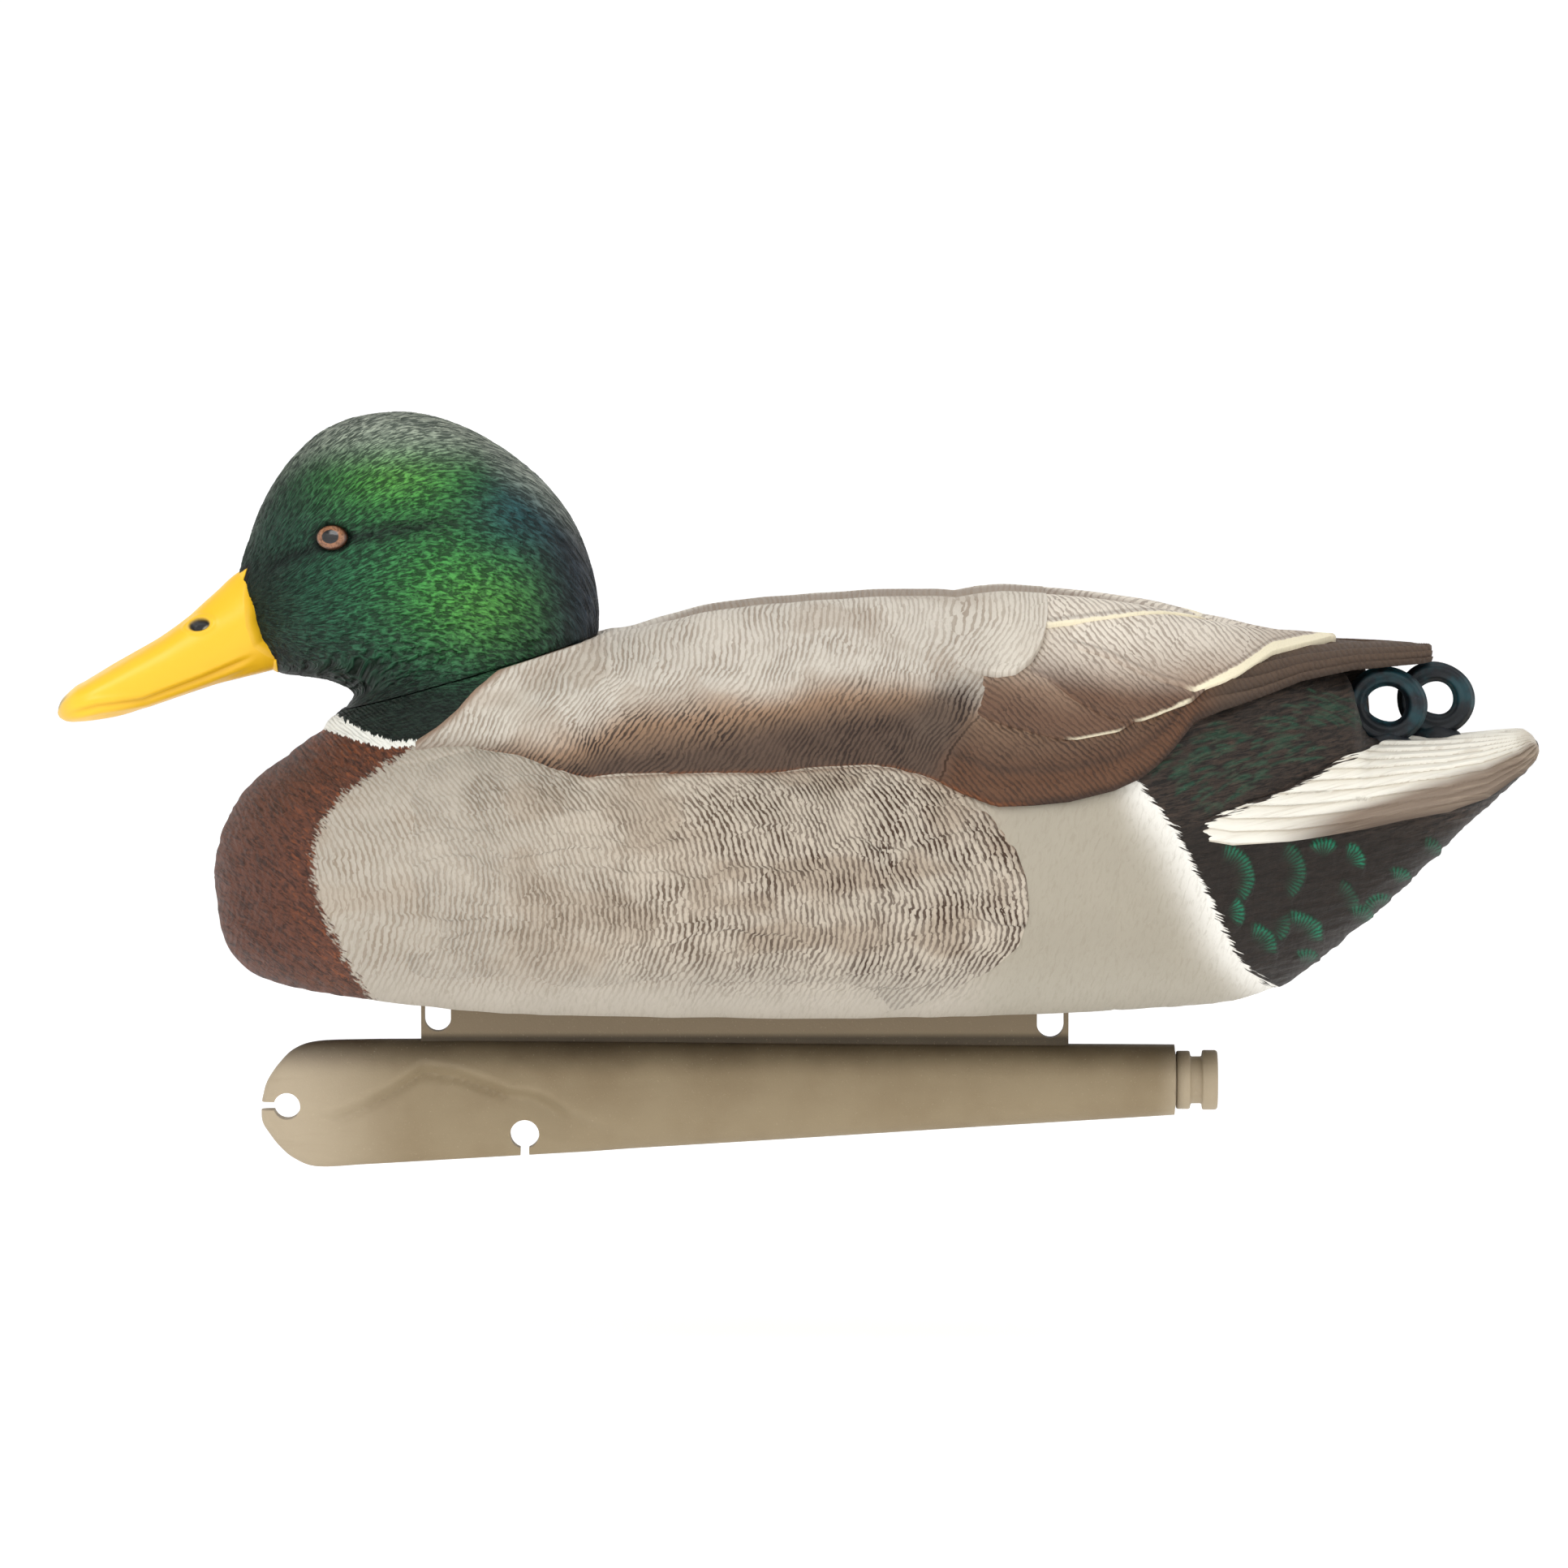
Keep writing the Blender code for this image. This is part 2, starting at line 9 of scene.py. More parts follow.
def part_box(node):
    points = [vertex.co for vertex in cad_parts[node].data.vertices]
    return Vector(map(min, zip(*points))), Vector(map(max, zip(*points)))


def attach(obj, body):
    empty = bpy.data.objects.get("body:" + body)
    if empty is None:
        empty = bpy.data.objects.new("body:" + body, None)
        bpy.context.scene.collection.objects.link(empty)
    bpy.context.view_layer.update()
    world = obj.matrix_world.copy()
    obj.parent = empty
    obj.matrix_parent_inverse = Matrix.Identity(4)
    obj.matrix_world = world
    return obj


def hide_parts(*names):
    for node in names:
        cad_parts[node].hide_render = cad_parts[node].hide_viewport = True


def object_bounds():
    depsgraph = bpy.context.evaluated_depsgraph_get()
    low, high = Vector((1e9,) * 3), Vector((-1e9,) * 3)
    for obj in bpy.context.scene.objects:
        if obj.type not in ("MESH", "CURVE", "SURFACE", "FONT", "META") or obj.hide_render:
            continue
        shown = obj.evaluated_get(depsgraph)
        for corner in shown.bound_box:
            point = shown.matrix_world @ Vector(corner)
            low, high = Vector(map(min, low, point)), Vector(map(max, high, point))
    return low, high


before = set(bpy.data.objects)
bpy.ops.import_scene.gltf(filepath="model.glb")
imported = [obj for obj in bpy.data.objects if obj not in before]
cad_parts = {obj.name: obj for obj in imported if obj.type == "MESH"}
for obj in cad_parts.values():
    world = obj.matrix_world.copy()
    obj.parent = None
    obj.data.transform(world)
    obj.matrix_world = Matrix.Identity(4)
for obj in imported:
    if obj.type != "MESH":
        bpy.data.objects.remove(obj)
cad_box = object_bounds()
MM = 0.001
ELEV = math.radians(4.0)
CE, SE = math.cos(ELEV), math.sin(ELEV)

hull_lo, hull_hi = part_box("body_shell")
bill_lo, bill_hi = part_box("bill")
keel_lo, keel_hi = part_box("keel_shell")
plug_lo, plug_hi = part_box("keel_plug")

# --------------------------------------------------------------- the surfaces
# Hull stations: x, top, bottom, half width, height of the widest line (mm)
X0 = hull_lo[0] / MM
X1 = hull_hi[0] / MM
HULL = np.array([
    (X0,     15.5,  15.5,  0.0, 15.5),
    (X0 + 1.8, 27.0,  3.0, 14.0, 15.0),
    (-147.5, 35.5,  -6.5, 27.0, 16.0),
    (-140.0, 44.0, -11.5, 40.0, 17.0),
    (-130.0, 51.0, -14.5, 51.0, 19.0),
    (-117.0, 56.0, -16.5, 60.0, 21.0),
    (-100.0, 60.5, -18.6, 68.0, 23.0),
    (-80.0,  67.0, -20.4, 74.5, 25.0),
    (-60.0,  74.5, -21.4, 79.0, 27.0),
    (-40.0,  82.3, -22.0, 81.5, 29.0),
    (-10.0,  89.3, -22.3, 83.0, 30.0),
    (30.0,   92.4, -22.3, 83.0, 31.0),
    (70.0,   92.6, -21.4, 79.0, 33.0),
    (100.0,  89.6, -20.0, 71.0, 36.0),
    (125.0,  84.0, -18.2, 60.0, 40.0),
    (140.0,  79.4, -13.5, 52.5, 42.5),
    (149.0,  76.6,  -7.2, 48.0, 43.0),
    (155.0,  74.4,  -2.6, 45.5, 42.0),
    (158.0,  72.9,   0.2, 44.3, 41.2),
    (160.0,  64.5,   1.8, 43.6, 41.0),
    (162.0,  58.0,   3.4, 42.8, 40.6),
    (165.5,  54.2,   6.4, 41.7, 40.5),
    (170.0,  52.8,  10.6, 40.0, 41.0),
    (182.0,  52.2,  22.4, 36.5, 43.0),
    (194.0,  53.0,  34.0, 32.0, 46.5),
    (204.0,  54.0,  43.0, 26.0, 49.5),
    (X1 - 1.4, 53.8, 48.0, 19.0, 51.5),
    (X1,     53.2,  50.6, 11.0, 52.0),
])


def catmull(rows, per):
    r = np.asarray(rows, float)
    ext = np.vstack([r[:1], r, r[-1:]])
    out = []
    for i in range(len(r) - 1):
        p0, p1, p2, p3 = ext[i], ext[i + 1], ext[i + 2], ext[i + 3]
        t = (np.arange(per) / per)[:, None]
        out.append(0.5 * (2 * p1 + (p2 - p0) * t
                          + (2 * p0 - 5 * p1 + 4 * p2 - p3) * t ** 2
                          + (3 * p1 - p0 - 3 * p2 + p3) * t ** 3))
    out.append(r[-1:])
    return np.vstack(out)


DENSE = catmull(HULL, 60)
DENSE[:, 3] = np.maximum(DENSE[:, 3], 0.0)
DENSE[:, 3] *= 1 - 0.022 * (DENSE[:, 3] > 60) * (DENSE[:, 3] - 60) / 23.0


def smooth(a, b, x):
    t = np.clip((np.asarray(x, float) - a) / (b - a), 0, 1)
    return t * t * (3 - 2 * t)


def gauss(x, s):
    return np.exp(-(np.asarray(x, float) / s) ** 2)


def line(pts):
    p = np.asarray(pts, float)
    return lambda x: np.interp(x, p[:, 0], p[:, 1])


NECK = np.array([-82.5, 0.0, 72.4])
TILT = math.radians(16.4)
NU = np.array([math.cos(TILT), 0.0, math.sin(TILT)])
NH = np.array([-math.sin(TILT), 0.0, math.cos(TILT)])


def to_neck(P):
    d = P - NECK
    return d @ NU, P[..., 1], d @ NH


def from_neck(u, y, h):
    P = NECK + u[..., None] * NU + h[..., None] * NH
    P[..., 1] = y
    return P


def neck_blend(P):
    """Raise the shoulders smoothly into the flat neck seat."""
    u, y, h = to_neck(P)
    rho = np.sqrt((u / 36.2) ** 2 + (y / 29.0) ** 2)
    skirt = np.interp(rho, [0, 1.0, 1.06, 1.15, 1.3, 1.5, 1.8, 2.3, 4.0],
                      [0, 0.0, -1.6, -4.4, -9.6, -17.5, -31.0, -60.0, -200.0])
    k = 4.0
    m = np.maximum(h, skirt)
    hs = m + k * np.log(np.exp((h - m) / k) + np.exp((skirt - m) / k)) * \
        smooth(1.0, 1.15, rho) * 0.8
    hs = np.where(h < -45, h, hs)
    hs = np.where((rho < 1.03), np.minimum(hs, 0.0), hs)
    hs = np.where(P[..., 2] < 20, h, hs)
    return from_neck(u, y, hs)


def clear_head(P):
    """Nothing on the hull stands in the way of the turning neck."""
    u, y, h = to_neck(P)
    r = np.sqrt(u * u + y * y)
    cap = np.where(r < 37.6, -0.25, np.where(r < 41, -0.25 + (r - 37.6) * 2.0, 1e9))
    near = (h > -6)
    h2 = np.where(near, np.minimum(h, cap), h)
    return from_neck(u, y, h2)


def section(x, a):
    x, a = np.broadcast_arrays(np.asarray(x, float), np.asarray(a, float))
    top = np.interp(x, DENSE[:, 0], DENSE[:, 1])
    low = np.interp(x, DENSE[:, 0], DENSE[:, 2])
    half = np.interp(x, DENSE[:, 0], DENSE[:, 3])
    wide = np.interp(x, DENSE[:, 0], DENSE[:, 4])
    c, s = np.abs(np.cos(a)), np.sin(a)
    up = s >= 0
    y = np.where(up, half * c ** 0.92, half * c ** 0.80)
    z = np.where(up, wide + (top - wide) * np.abs(s) ** 0.92,
                 wide - (wide - low) * np.abs(s) ** 0.72)
    return neck_blend(np.stack([x, y, z], -1))


ANG = np.radians(np.linspace(-72, 90, 420))


def angle_at(x, v):
    """Section angle whose side view height is v, for each x."""
    P = section(x[:, None], ANG[None, :])
    V = np.maximum.accumulate(P[..., 2] * CE - P[..., 1] * SE, axis=1)
    return np.array([np.interp(vv, V[i] + np.arange(len(ANG)) * 1e-7, ANG)
                     for i, vv in enumerate(np.broadcast_to(v, x.shape))])


def side_v(P):
    return P[..., 2] * CE - np.abs(P[..., 1]) * SE


# Boundaries in the side view: x, height
WING_EDGE = line([(-96.1, 50.1), (-81.6, 50.3), (-68.4, 48.3), (-59.5, 44.9),
                  (-49.4, 42.5), (-29.5, 43.4), (1.8, 43.8), (15, 44.9),
                  (26, 45.6), (34, 44.9), (43, 42.2), (52, 38.2), (60.6, 34.9),
                  (70, 35.2), (80.2, 36.2), (92, 39.1), (99, 42.2),
                  (103.7, 45.6), (108.4, 50.3), (114.2, 57.4), (122, 61.0),
                  (133, 64.4), (144.6, 69.0), (159.8, 72.3), (178.4, 74.0),
                  (181.6, 74.6)])
LIP = line([(-96.6, 51.6), (-90.5, 55.9), (-83.8, 60.8), (-78.2, 65.9),
            (-69.3, 72.6), (-60.3, 77.1), (-51.4, 80.5), (-47.0, 90.0)])
FLANK_REAR = np.array([(52, 38.2), (59.2, 32.4), (65.9, 23.5), (68.8, 15.6),
                       (69.7, 6.7), (67, -2.2), (59.2, -8.9), (44.7, -16.8),
                       (29, -22.3)], float)
BREAST = np.array([(-92, 54), (-96.1, 51.4), (-106, 45.5), (-116.2, 38),
                   (-121.5, 31), (-124, 24.6), (-123.6, 14), (-120.7, 4.5),
                   (-114, -8.9), (-108.4, -19), (-104, -30)], float)
RING_UP = np.array([(-140, 76), (-120, 60.3), (-114.4, 57.2), (-108.6, 54.3),
                    (-102.8, 52.5), (-95.9, 52.5), (-80, 57)], float)
RING_LOW = np.array([(-140, 66), (-125.8, 57.2), (-118.7, 54.5),
                     (-111.5, 52.1), (-104.4, 50.3), (-97.2, 51.0),
                     (-80, 55)], float)
DARK = np.array([(96, 50), (99, 42.2), (102.8, 36.9), (107.3, 31.3),
                 (111.1, 25.7), (115.1, 17.9), (118.5, 11.2), (122.9, 2.2),
                 (126.3, -4.5), (130.7, -10.1), (136.3, -13.4),
                 (142, -16.0)], float)


def signed(P2, poly):
    """Distance to a polyline, positive to its left when walked along."""
    best = np.full(P2.shape[:-1], 1e9)
    sign = np.ones(P2.shape[:-1])
    for a, b in zip(poly[:-1], poly[1:]):
        ab = b - a
        t = np.clip(((P2 - a) @ ab) / (ab @ ab), 0, 1)
        q = a + t[..., None] * ab
        d = np.linalg.norm(P2 - q, axis=-1)
        cr = ab[0] * (P2[..., 1] - a[1]) - ab[1] * (P2[..., 0] - a[0])
        take = d < best - 1e-9
        best = np.where(take, d, best)
        sign = np.where(take, np.sign(cr), sign)
    return best * sign


# ------------------------------------------------------------- smooth noise
def lattice(seed, n=64):
    return np.random.RandomState(seed).rand(n, n)


def noise2(x, y, seed=0):
    g = lattice(seed)
    n = g.shape[0]
    xi, yi = np.floor(x).astype(int), np.floor(y).astype(int)
    fx, fy = x - xi, y - yi
    fx, fy = fx * fx * (3 - 2 * fx), fy * fy * (3 - 2 * fy)
    a = g[xi % n, yi % n]
    b = g[(xi + 1) % n, yi % n]
    c = g[xi % n, (yi + 1) % n]
    d = g[(xi + 1) % n, (yi + 1) % n]
    return (a * (1 - fx) + b * fx) * (1 - fy) + (c * (1 - fx) + d * fx) * fy


def fbm(x, y, seed=0, octaves=3):
    out, amp, tot = 0, 1.0, 0
    for k in range(octaves):
        out = out + amp * noise2(x * 2 ** k + 17.3 * k, y * 2 ** k - 9.1 * k,
                                 seed + k)
        tot += amp
        amp *= 0.5
    return out / tot


# -------------------------------------------------------------- mesh builders
def srgb(r, g, b):
    c = np.array([r, g, b], float) / 255.0
    return np.where(c <= 0.04045, c / 12.92, ((c + 0.055) / 1.055) ** 2.4)


def new_mesh(name, verts, faces, attrs=None, smooth_shade=True, body="hull",
             mat=None, replaces=()):
    me = bpy.data.meshes.new(name)
    v = np.asarray(verts, float).reshape(-1, 3) * MM
    f = np.asarray(faces, np.int32)
    me.vertices.add(len(v))
    me.vertices.foreach_set("co", v.ravel())
    n = f.shape[1]
    me.loops.add(f.size)
    me.loops.foreach_set("vertex_index", f.ravel())
    me.polygons.add(len(f))
    me.polygons.foreach_set("loop_start", np.arange(0, f.size, n))
    me.update(calc_edges=True)
    me.validate()
    me.polygons.foreach_set("use_smooth", [smooth_shade] * len(me.polygons))
    for key, val in (attrs or {}).items():
        val = np.asarray(val, float)
        if val.ndim == 1:
            a = me.attributes.new(key, "FLOAT", "POINT")
            a.data.foreach_set("value", val.ravel())
        else:
            a = me.attributes.new(key, "FLOAT_VECTOR", "POINT")
            a.data.foreach_set("vector", val.ravel())
    ob = bpy.data.objects.new(name, me)
    bpy.context.scene.collection.objects.link(ob)
    if mat is not None:
        me.materials.append(mat)
    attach(ob, body)
    if replaces:
        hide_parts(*replaces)
    return ob


def grid_faces(nu, nv, wrap_v=False, base=0, flip=False):
    i = np.arange(nu - 1)[:, None]
    m = nv if wrap_v else nv - 1
    j = np.arange(m)[None, :]
    j2 = (j + 1) % nv
    a = base + i * nv + j
    b = base + i * nv + j2
    c = base + (i + 1) * nv + j2
    d = base + (i + 1) * nv + j
    q = np.stack([a, b, c, d] if not flip else [a, d, c, b], -1)
    return q.reshape(-1, 4)


def grid_normals(P, wrap_v=False):
    du = np.gradient(P, axis=0)
    if wrap_v:
        dv = (np.roll(P, -1, 1) - np.roll(P, 1, 1)) / 2
    else:
        dv = np.gradient(P, axis=1)
    n = np.cross(du, dv)
    n /= np.linalg.norm(n, axis=-1, keepdims=True) + 1e-12
    return n


# Flow of the line work over the hull: wavy fingerprint lines
def line_field(x, v, seed=3):
    """Phase in mm along the growth of the feathers."""
    warp = (fbm(x / 26.0 + 5, v / 20.0 + 5, seed, 3) - 0.5) * 17.0
    small = (fbm(x / 5.0, v / 5.0, seed + 7, 2) - 0.5) * 1.7
    rear = np.sqrt((x + 6) ** 2 + (v - 10) ** 2)
    w = smooth(8, 45, x)
    plain = x * 0.93 + (v - 10) * -0.20
    return plain * (1 - w) + (rear - 6) * w + warp + small


def feather_mottle(x, v, seed=21):
    return fbm(x / 15.0, v / 11.0, seed, 2)


C = {k: srgb(*c) for k, c in {
    "flank": (219, 211, 197), "flank_low": (214, 209, 199),
    "flank_ink": (84, 62, 50), "belly": (214, 209, 196),
    "rump": (222, 216, 200), "rump_edge": (246, 244, 236),
    "breast": (88, 56, 46), "breast_rust": (134, 72, 42),
    "mantle": (226, 218, 206), "mantle_ink": (128, 106, 90),
    "wing_tan": (150, 116, 88), "wing_dark": (82, 64, 54),
    "wing_ink": (52, 39, 33), "rust": (102, 66, 47),
    "tertial": (196, 184, 168), "tertial_ink": (104, 84, 70),
    "slab": (92, 70, 57), "slab_ink": (46, 34, 29),
    "cream": (240, 226, 190), "covert": (60, 50, 46),
    "green": (18, 140, 92), "tail": (250, 247, 236),
    "tail_beige": (150, 134, 118), "neck": (30, 46, 38),
    "ring": (250, 249, 240), "back_far": (170, 152, 138),
}.items()}


def mixc(a, b, t):
    t = np.clip(np.asarray(t, float), 0, 1)[..., None]
    return a * (1 - t) + b * t


def attributes(x, v, paint, ink, amt, phase, period, relief):
    """Shared attributes of every painted hull surface."""
    one = np.ones(np.shape(x))
    return {"paint": np.broadcast_to(paint, x.shape + (3,)).reshape(-1, 3),
            "ink": np.broadcast_to(ink, x.shape + (3,)).reshape(-1, 3),
            "amt": (one * amt).ravel(),
            "phase": (phase / (one * period)).ravel(),
            "relief": (one * relief).ravel(),
            "sx": (one * x).ravel(), "sv": (one * v).ravel()}


# crescents under the tail: x, v, radius, start and end angle, strength
ARCS = [(121.5, 15.6, 8.9, -40, 80, 0.75), (136.1, 17.1, 8.5, -50, 62, 0.5),
        (150.0, 20.2, 5.4, 50, 128, 1.0), (156.1, 19.6, 5.0, -12, 82, 1.0),
        (122.5, 6.2, 5.2, -35, 45, 1.0), (142.3, -2.1, 8.1, 8, 96, 1.0),
        (130.0, -4.4, 7.3, 0, 82, 0.9), (166.9, 5.6, 5.0, 60, 160, 0.6),
        (146.0, -9.5, 5.0, 40, 120, 0.7), (170.5, 13.6, 4.5, 20, 110, 0.7),
        (160.0, 2.0, 5.5, 20, 110, 0.6), (134.5, 3.4, 6.0, -50, 20, 0.45),
        (178.5, 21.0, 5.0, 10, 90, 0.45), (153.0, 8.5, 6.5, -20, 70, 0.35)]
def green_arcs(x, v):
    out = np.zeros(np.shape(x))
    for cx, cv, r, a0, a1, w in ARCS:
        dx, dv = x - cx, v - cv
        rr = np.hypot(dx, dv)
        ang = np.degrees(np.arctan2(dv, dx))
        wob = (noise2(ang / 9.0 + cx, rr * 0 + cv, 31) - 0.5) * 2.2
        band = gauss(rr - r - wob, 0.75 * w)
        ends = smooth(a0 - 8, a0 + 10, ang) * (1 - smooth(a1 - 10, a1 + 8, ang))
        out = np.maximum(out, band * ends)
    return out


def base_paint(P):
    x, v = P[..., 0], side_v(P)
    Q = np.stack([x, v], -1)
    flank, ink, amt = flank_paint(x, v)
    dd = signed(Q, DARK)
    rump = srgb(166, 158, 142) * (0.95 + 0.08 * feather_mottle(x, v))[..., None]
    rump = mixc(rump, srgb(240, 237, 229), gauss(dd, 7.5) * smooth(88, 100, x) * 0.95)
    rump = mixc(rump, srgb(172, 165, 150), smooth(0, -20, v) * (1 - gauss(dd, 7.5)))
    w_rump = smooth(44, 68, x)
    col = mixc(flank, rump, w_rump)
    amt = amt * (1 - smooth(46, 64, x)) * (1 - smooth(-12, -22, v))
    return x, v, Q, col, amt, dd


def shade_noise(x, v, seed, amp):
    return 1 + (fbm(x / 3.0, v / 3.0, seed, 2) - 0.5) * amp


# ------------------------------------------------------------ node utilities
class Nodes:
    def __init__(self, name):
        self.m = bpy.data.materials.new(name)
        self.m.use_nodes = True
        self.t = self.m.node_tree
        self.b = self.t.nodes["Principled BSDF"]

    def put(self, sock, v):
        if isinstance(v, bpy.types.NodeSocket):
            self.t.links.new(v, sock)
        else:
            sock.default_value = v

    def node(self, kind, **kw):
        n = self.t.nodes.new(kind)
        for k, v in kw.items():
            setattr(n, k, v)
        return n

    def attr(self, name, vector=False):
        n = self.node("ShaderNodeAttribute", attribute_name=name)
        return n.outputs["Vector" if vector else "Fac"]

    def colour(self, name):
        n = self.node("ShaderNodeAttribute", attribute_name=name)
        return n.outputs["Color"]

    def math(self, op, a, b=0.0, c=0.0, clamp=False):
        n = self.node("ShaderNodeMath", operation=op, use_clamp=clamp)
        self.put(n.inputs[0], a)
        self.put(n.inputs[1], b)
        self.put(n.inputs[2], c)
        return n.outputs[0]

    def xyz(self, x, y, z=0.0):
        n = self.node("ShaderNodeCombineXYZ")
        self.put(n.inputs[0], x)
        self.put(n.inputs[1], y)
        self.put(n.inputs[2], z)
        return n.outputs[0]

    def obj(self):
        return self.node("ShaderNodeTexCoord").outputs["Object"]

    def noise(self, vec, scale, detail=2.0, rough=0.5, dist=0.0):
        n = self.node("ShaderNodeTexNoise")
        self.put(n.inputs["Vector"], vec)
        self.put(n.inputs["Scale"], scale)
        self.put(n.inputs["Detail"], detail)
        self.put(n.inputs["Roughness"], rough)
        self.put(n.inputs["Distortion"], dist)
        return n.outputs["Fac"]

    def band(self, v, lo, hi):
        n = self.node("ShaderNodeMapRange", interpolation_type="SMOOTHSTEP")
        self.put(n.inputs["Value"], v)
        self.put(n.inputs["From Min"], lo)
        self.put(n.inputs["From Max"], hi)
        return n.outputs["Result"]

    def span(self, v, lo, hi, a, b):
        n = self.node("ShaderNodeMapRange")
        self.put(n.inputs["Value"], v)
        self.put(n.inputs["From Min"], lo)
        self.put(n.inputs["From Max"], hi)
        self.put(n.inputs["To Min"], a)
        self.put(n.inputs["To Max"], b)
        return n.outputs["Result"]

    def mix(self, a, b, f, kind="MIX"):
        n = self.node("ShaderNodeMix", data_type="RGBA", blend_type=kind)
        self.put(n.inputs["Factor"], f)
        self.put(n.inputs[6], a)
        self.put(n.inputs[7], b)
        return n.outputs[2]

    def bump(self, h, strength, dist, normal=None):
        n = self.node("ShaderNodeBump")
        self.put(n.inputs["Height"], h)
        n.inputs["Strength"].default_value = strength
        n.inputs["Distance"].default_value = dist
        if normal is not None:
            self.put(n.inputs["Normal"], normal)
        return n.outputs["Normal"]

    def done(self, colour=None, rough=None, normal=None, spec=None, coat=None):
        b = self.b.inputs
        if colour is not None:
            self.put(b["Base Color"], colour)
        if rough is not None:
            self.put(b["Roughness"], rough)
        if normal is not None:
            self.put(b["Normal"], normal)
        if spec is not None:
            b["Specular IOR Level"].default_value = spec
        if coat is not None:
            b["Coat Weight"].default_value = coat[0]
            b["Coat Roughness"].default_value = coat[1]
        return self.m


def rgba(c):
    return (float(c[0]), float(c[1]), float(c[2]), 1.0)


def skin_sink(x, v):
    """How far the skin lies down where the folded wing covers it."""
    w = smooth(0.2, 3.0, v - WING_EDGE(x)) * (x > -96)
    w = w * np.where(x < -47, smooth(0.2, 3.0, LIP(np.minimum(x, -47.3)) - v), 1)
    return 2.4 * w * (1 - smooth(114, 130, x))


def flank_field(x, v):
    """Phase of the side pocket's bars: arcs that bow to the rear."""
    warp = (fbm(x / 26.0 + 5, v / 20.0 + 5, 3, 2) - 0.5) * 5.5
    row = np.floor(v / 4.6 + (fbm(x / 17.0, v / 12.0, 17, 2) - 0.5) * 2.4)
    step = (noise2(x / 30.0, row * 1.7, 19) - 0.5) * 1.6
    small = (fbm(x / 4.0, v / 3.6, 10, 2) - 0.5) * 0.4
    return x + (v - 8.0) ** 2 / 80.0 + warp + small + step


def mantle_field(x, v):
    """Phase of the back's fine bars: they lean forward."""
    w = v - 55.0
    lean = 0.62 * w - 0.42 * np.maximum(0, w - 8) ** 2 / 32.0
    warp = (fbm(x / 20.0, v / 14.0, 9, 2) - 0.5) * 7.0
    small = (fbm(x / 4.0, v / 3.0, 16, 2) - 0.5) * 0.5
    arcs = (v - 60) ** 2 / 34.0 * gauss(x - 44, 12) * gauss(v - 60, 14)
    return 0.9 * x - lean + warp + small + arcs


def flank_paint(x, v):
    fwd = smooth(-105, 15, x)
    low = smooth(0, -20, v)
    mott = feather_mottle(x, v)
    col = mixc(srgb(182, 173, 159), srgb(196, 184, 167), smooth(-95, -20, x))
    col = mixc(col, srgb(184, 176, 163), low)
    col = col * (0.93 + 0.14 * mott)[..., None]
    blot = smooth(0.50, 0.70, fbm(x / 16.0, v / 9.0, 77, 2))
    col = mixc(col, srgb(166, 148, 128), blot * (0.30 + 0.3 * fwd) * (1 - low))
    amt = (0.62 + 0.36 * fwd) * (1 - low * 0.62)
    amt = amt * (0.74 + 0.40 * smooth(0.32, 0.62, fbm(x / 15.0, v / 9.0, 81, 2)))
    ink = mixc(srgb(138, 122, 104), srgb(76, 58, 46), smooth(-90, 35, x))
    return col, ink, np.clip(amt, 0, 1)


TAN_T = line([(-96, 1.5), (-78, 4), (-60, 12), (-42, 19), (-10, 23), (21, 25),
              (45, 27), (60, 27)])


DARK_T = line([(-96, 0.4), (-78, 1.6), (-60, 5), (-42, 11), (-10, 14),
               (21, 17), (45, 22), (60, 22)])


def mantle_paint(x, v, up):
    mott = feather_mottle(x, v, 61)
    edge = (mott - 0.5) * 3.0
    col = srgb(211, 203, 190) * (0.93 + 0.12 * mott)[..., None]
    col = mixc(col, srgb(184, 170, 154),
               smooth(0.53, 0.70, fbm(x / 12, v / 7, 65, 2)) * 0.5)
    brown = smooth(TAN_T(x) + 2, TAN_T(x) - 9, up + edge)
    dark = smooth(DARK_T(x) + 4, DARK_T(x) - 8, up + edge)
    lean = x - 0.6 * (v - 58)
    patch = np.clip(1.3 * gauss(lean - 46, 9.0) * gauss(v - 59, 9.5), 0, 1)
    col = mixc(col, srgb(164, 130, 100), brown * 0.95)
    col = mixc(col, srgb(90, 72, 60), dark)
    col = mixc(col, srgb(96, 80, 68), patch * 0.85)
    b = np.clip(brown + patch, 0, 1)
    ink = mixc(srgb(146, 128, 110), srgb(54, 41, 34), b)
    amt = (0.58 + 0.34 * b) * (0.75 + 0.4 * smooth(0.35, 0.6, fbm(x / 14, v / 9, 69, 2)))
    return col, ink, np.clip(amt, 0, 1)


def remex_paint(x, v, up):
    mott = feather_mottle(x, v, 63)
    col = srgb(103, 78, 61) * (0.90 + 0.2 * mott)[..., None]
    col = mixc(col, srgb(150, 122, 98), smooth(12, 26, up) * 0.6)
    col = mixc(col, srgb(100, 68, 48), smooth(15, 6, up) * 0.85)
    col = mixc(col, srgb(74, 56, 45), gauss(up - 9.5 + 0.03 * (x - 60), 1.2) * 0.6)
    col = mixc(col, srgb(62, 47, 39), smooth(2.2, 0.2, up) * 0.7)
    pale = smooth(70.5, 77.5, v + 0.12 * (x - 74)) * (1 - smooth(112, 124, x))
    col = mixc(col, srgb(222, 212, 197) * (0.94 + 0.10 * mott)[..., None], pale)
    ink = np.broadcast_to(srgb(50, 37, 30), col.shape)
    ink = mixc(ink, srgb(118, 98, 82), pale)
    return col, ink, 0.62 * np.ones_like(x)


BACK_V = line([(-60, 81), (-27, 84.4), (11, 88.9), (56, 90.4), (85, 89.9),
               (118, 86.4), (130, 85.4)])


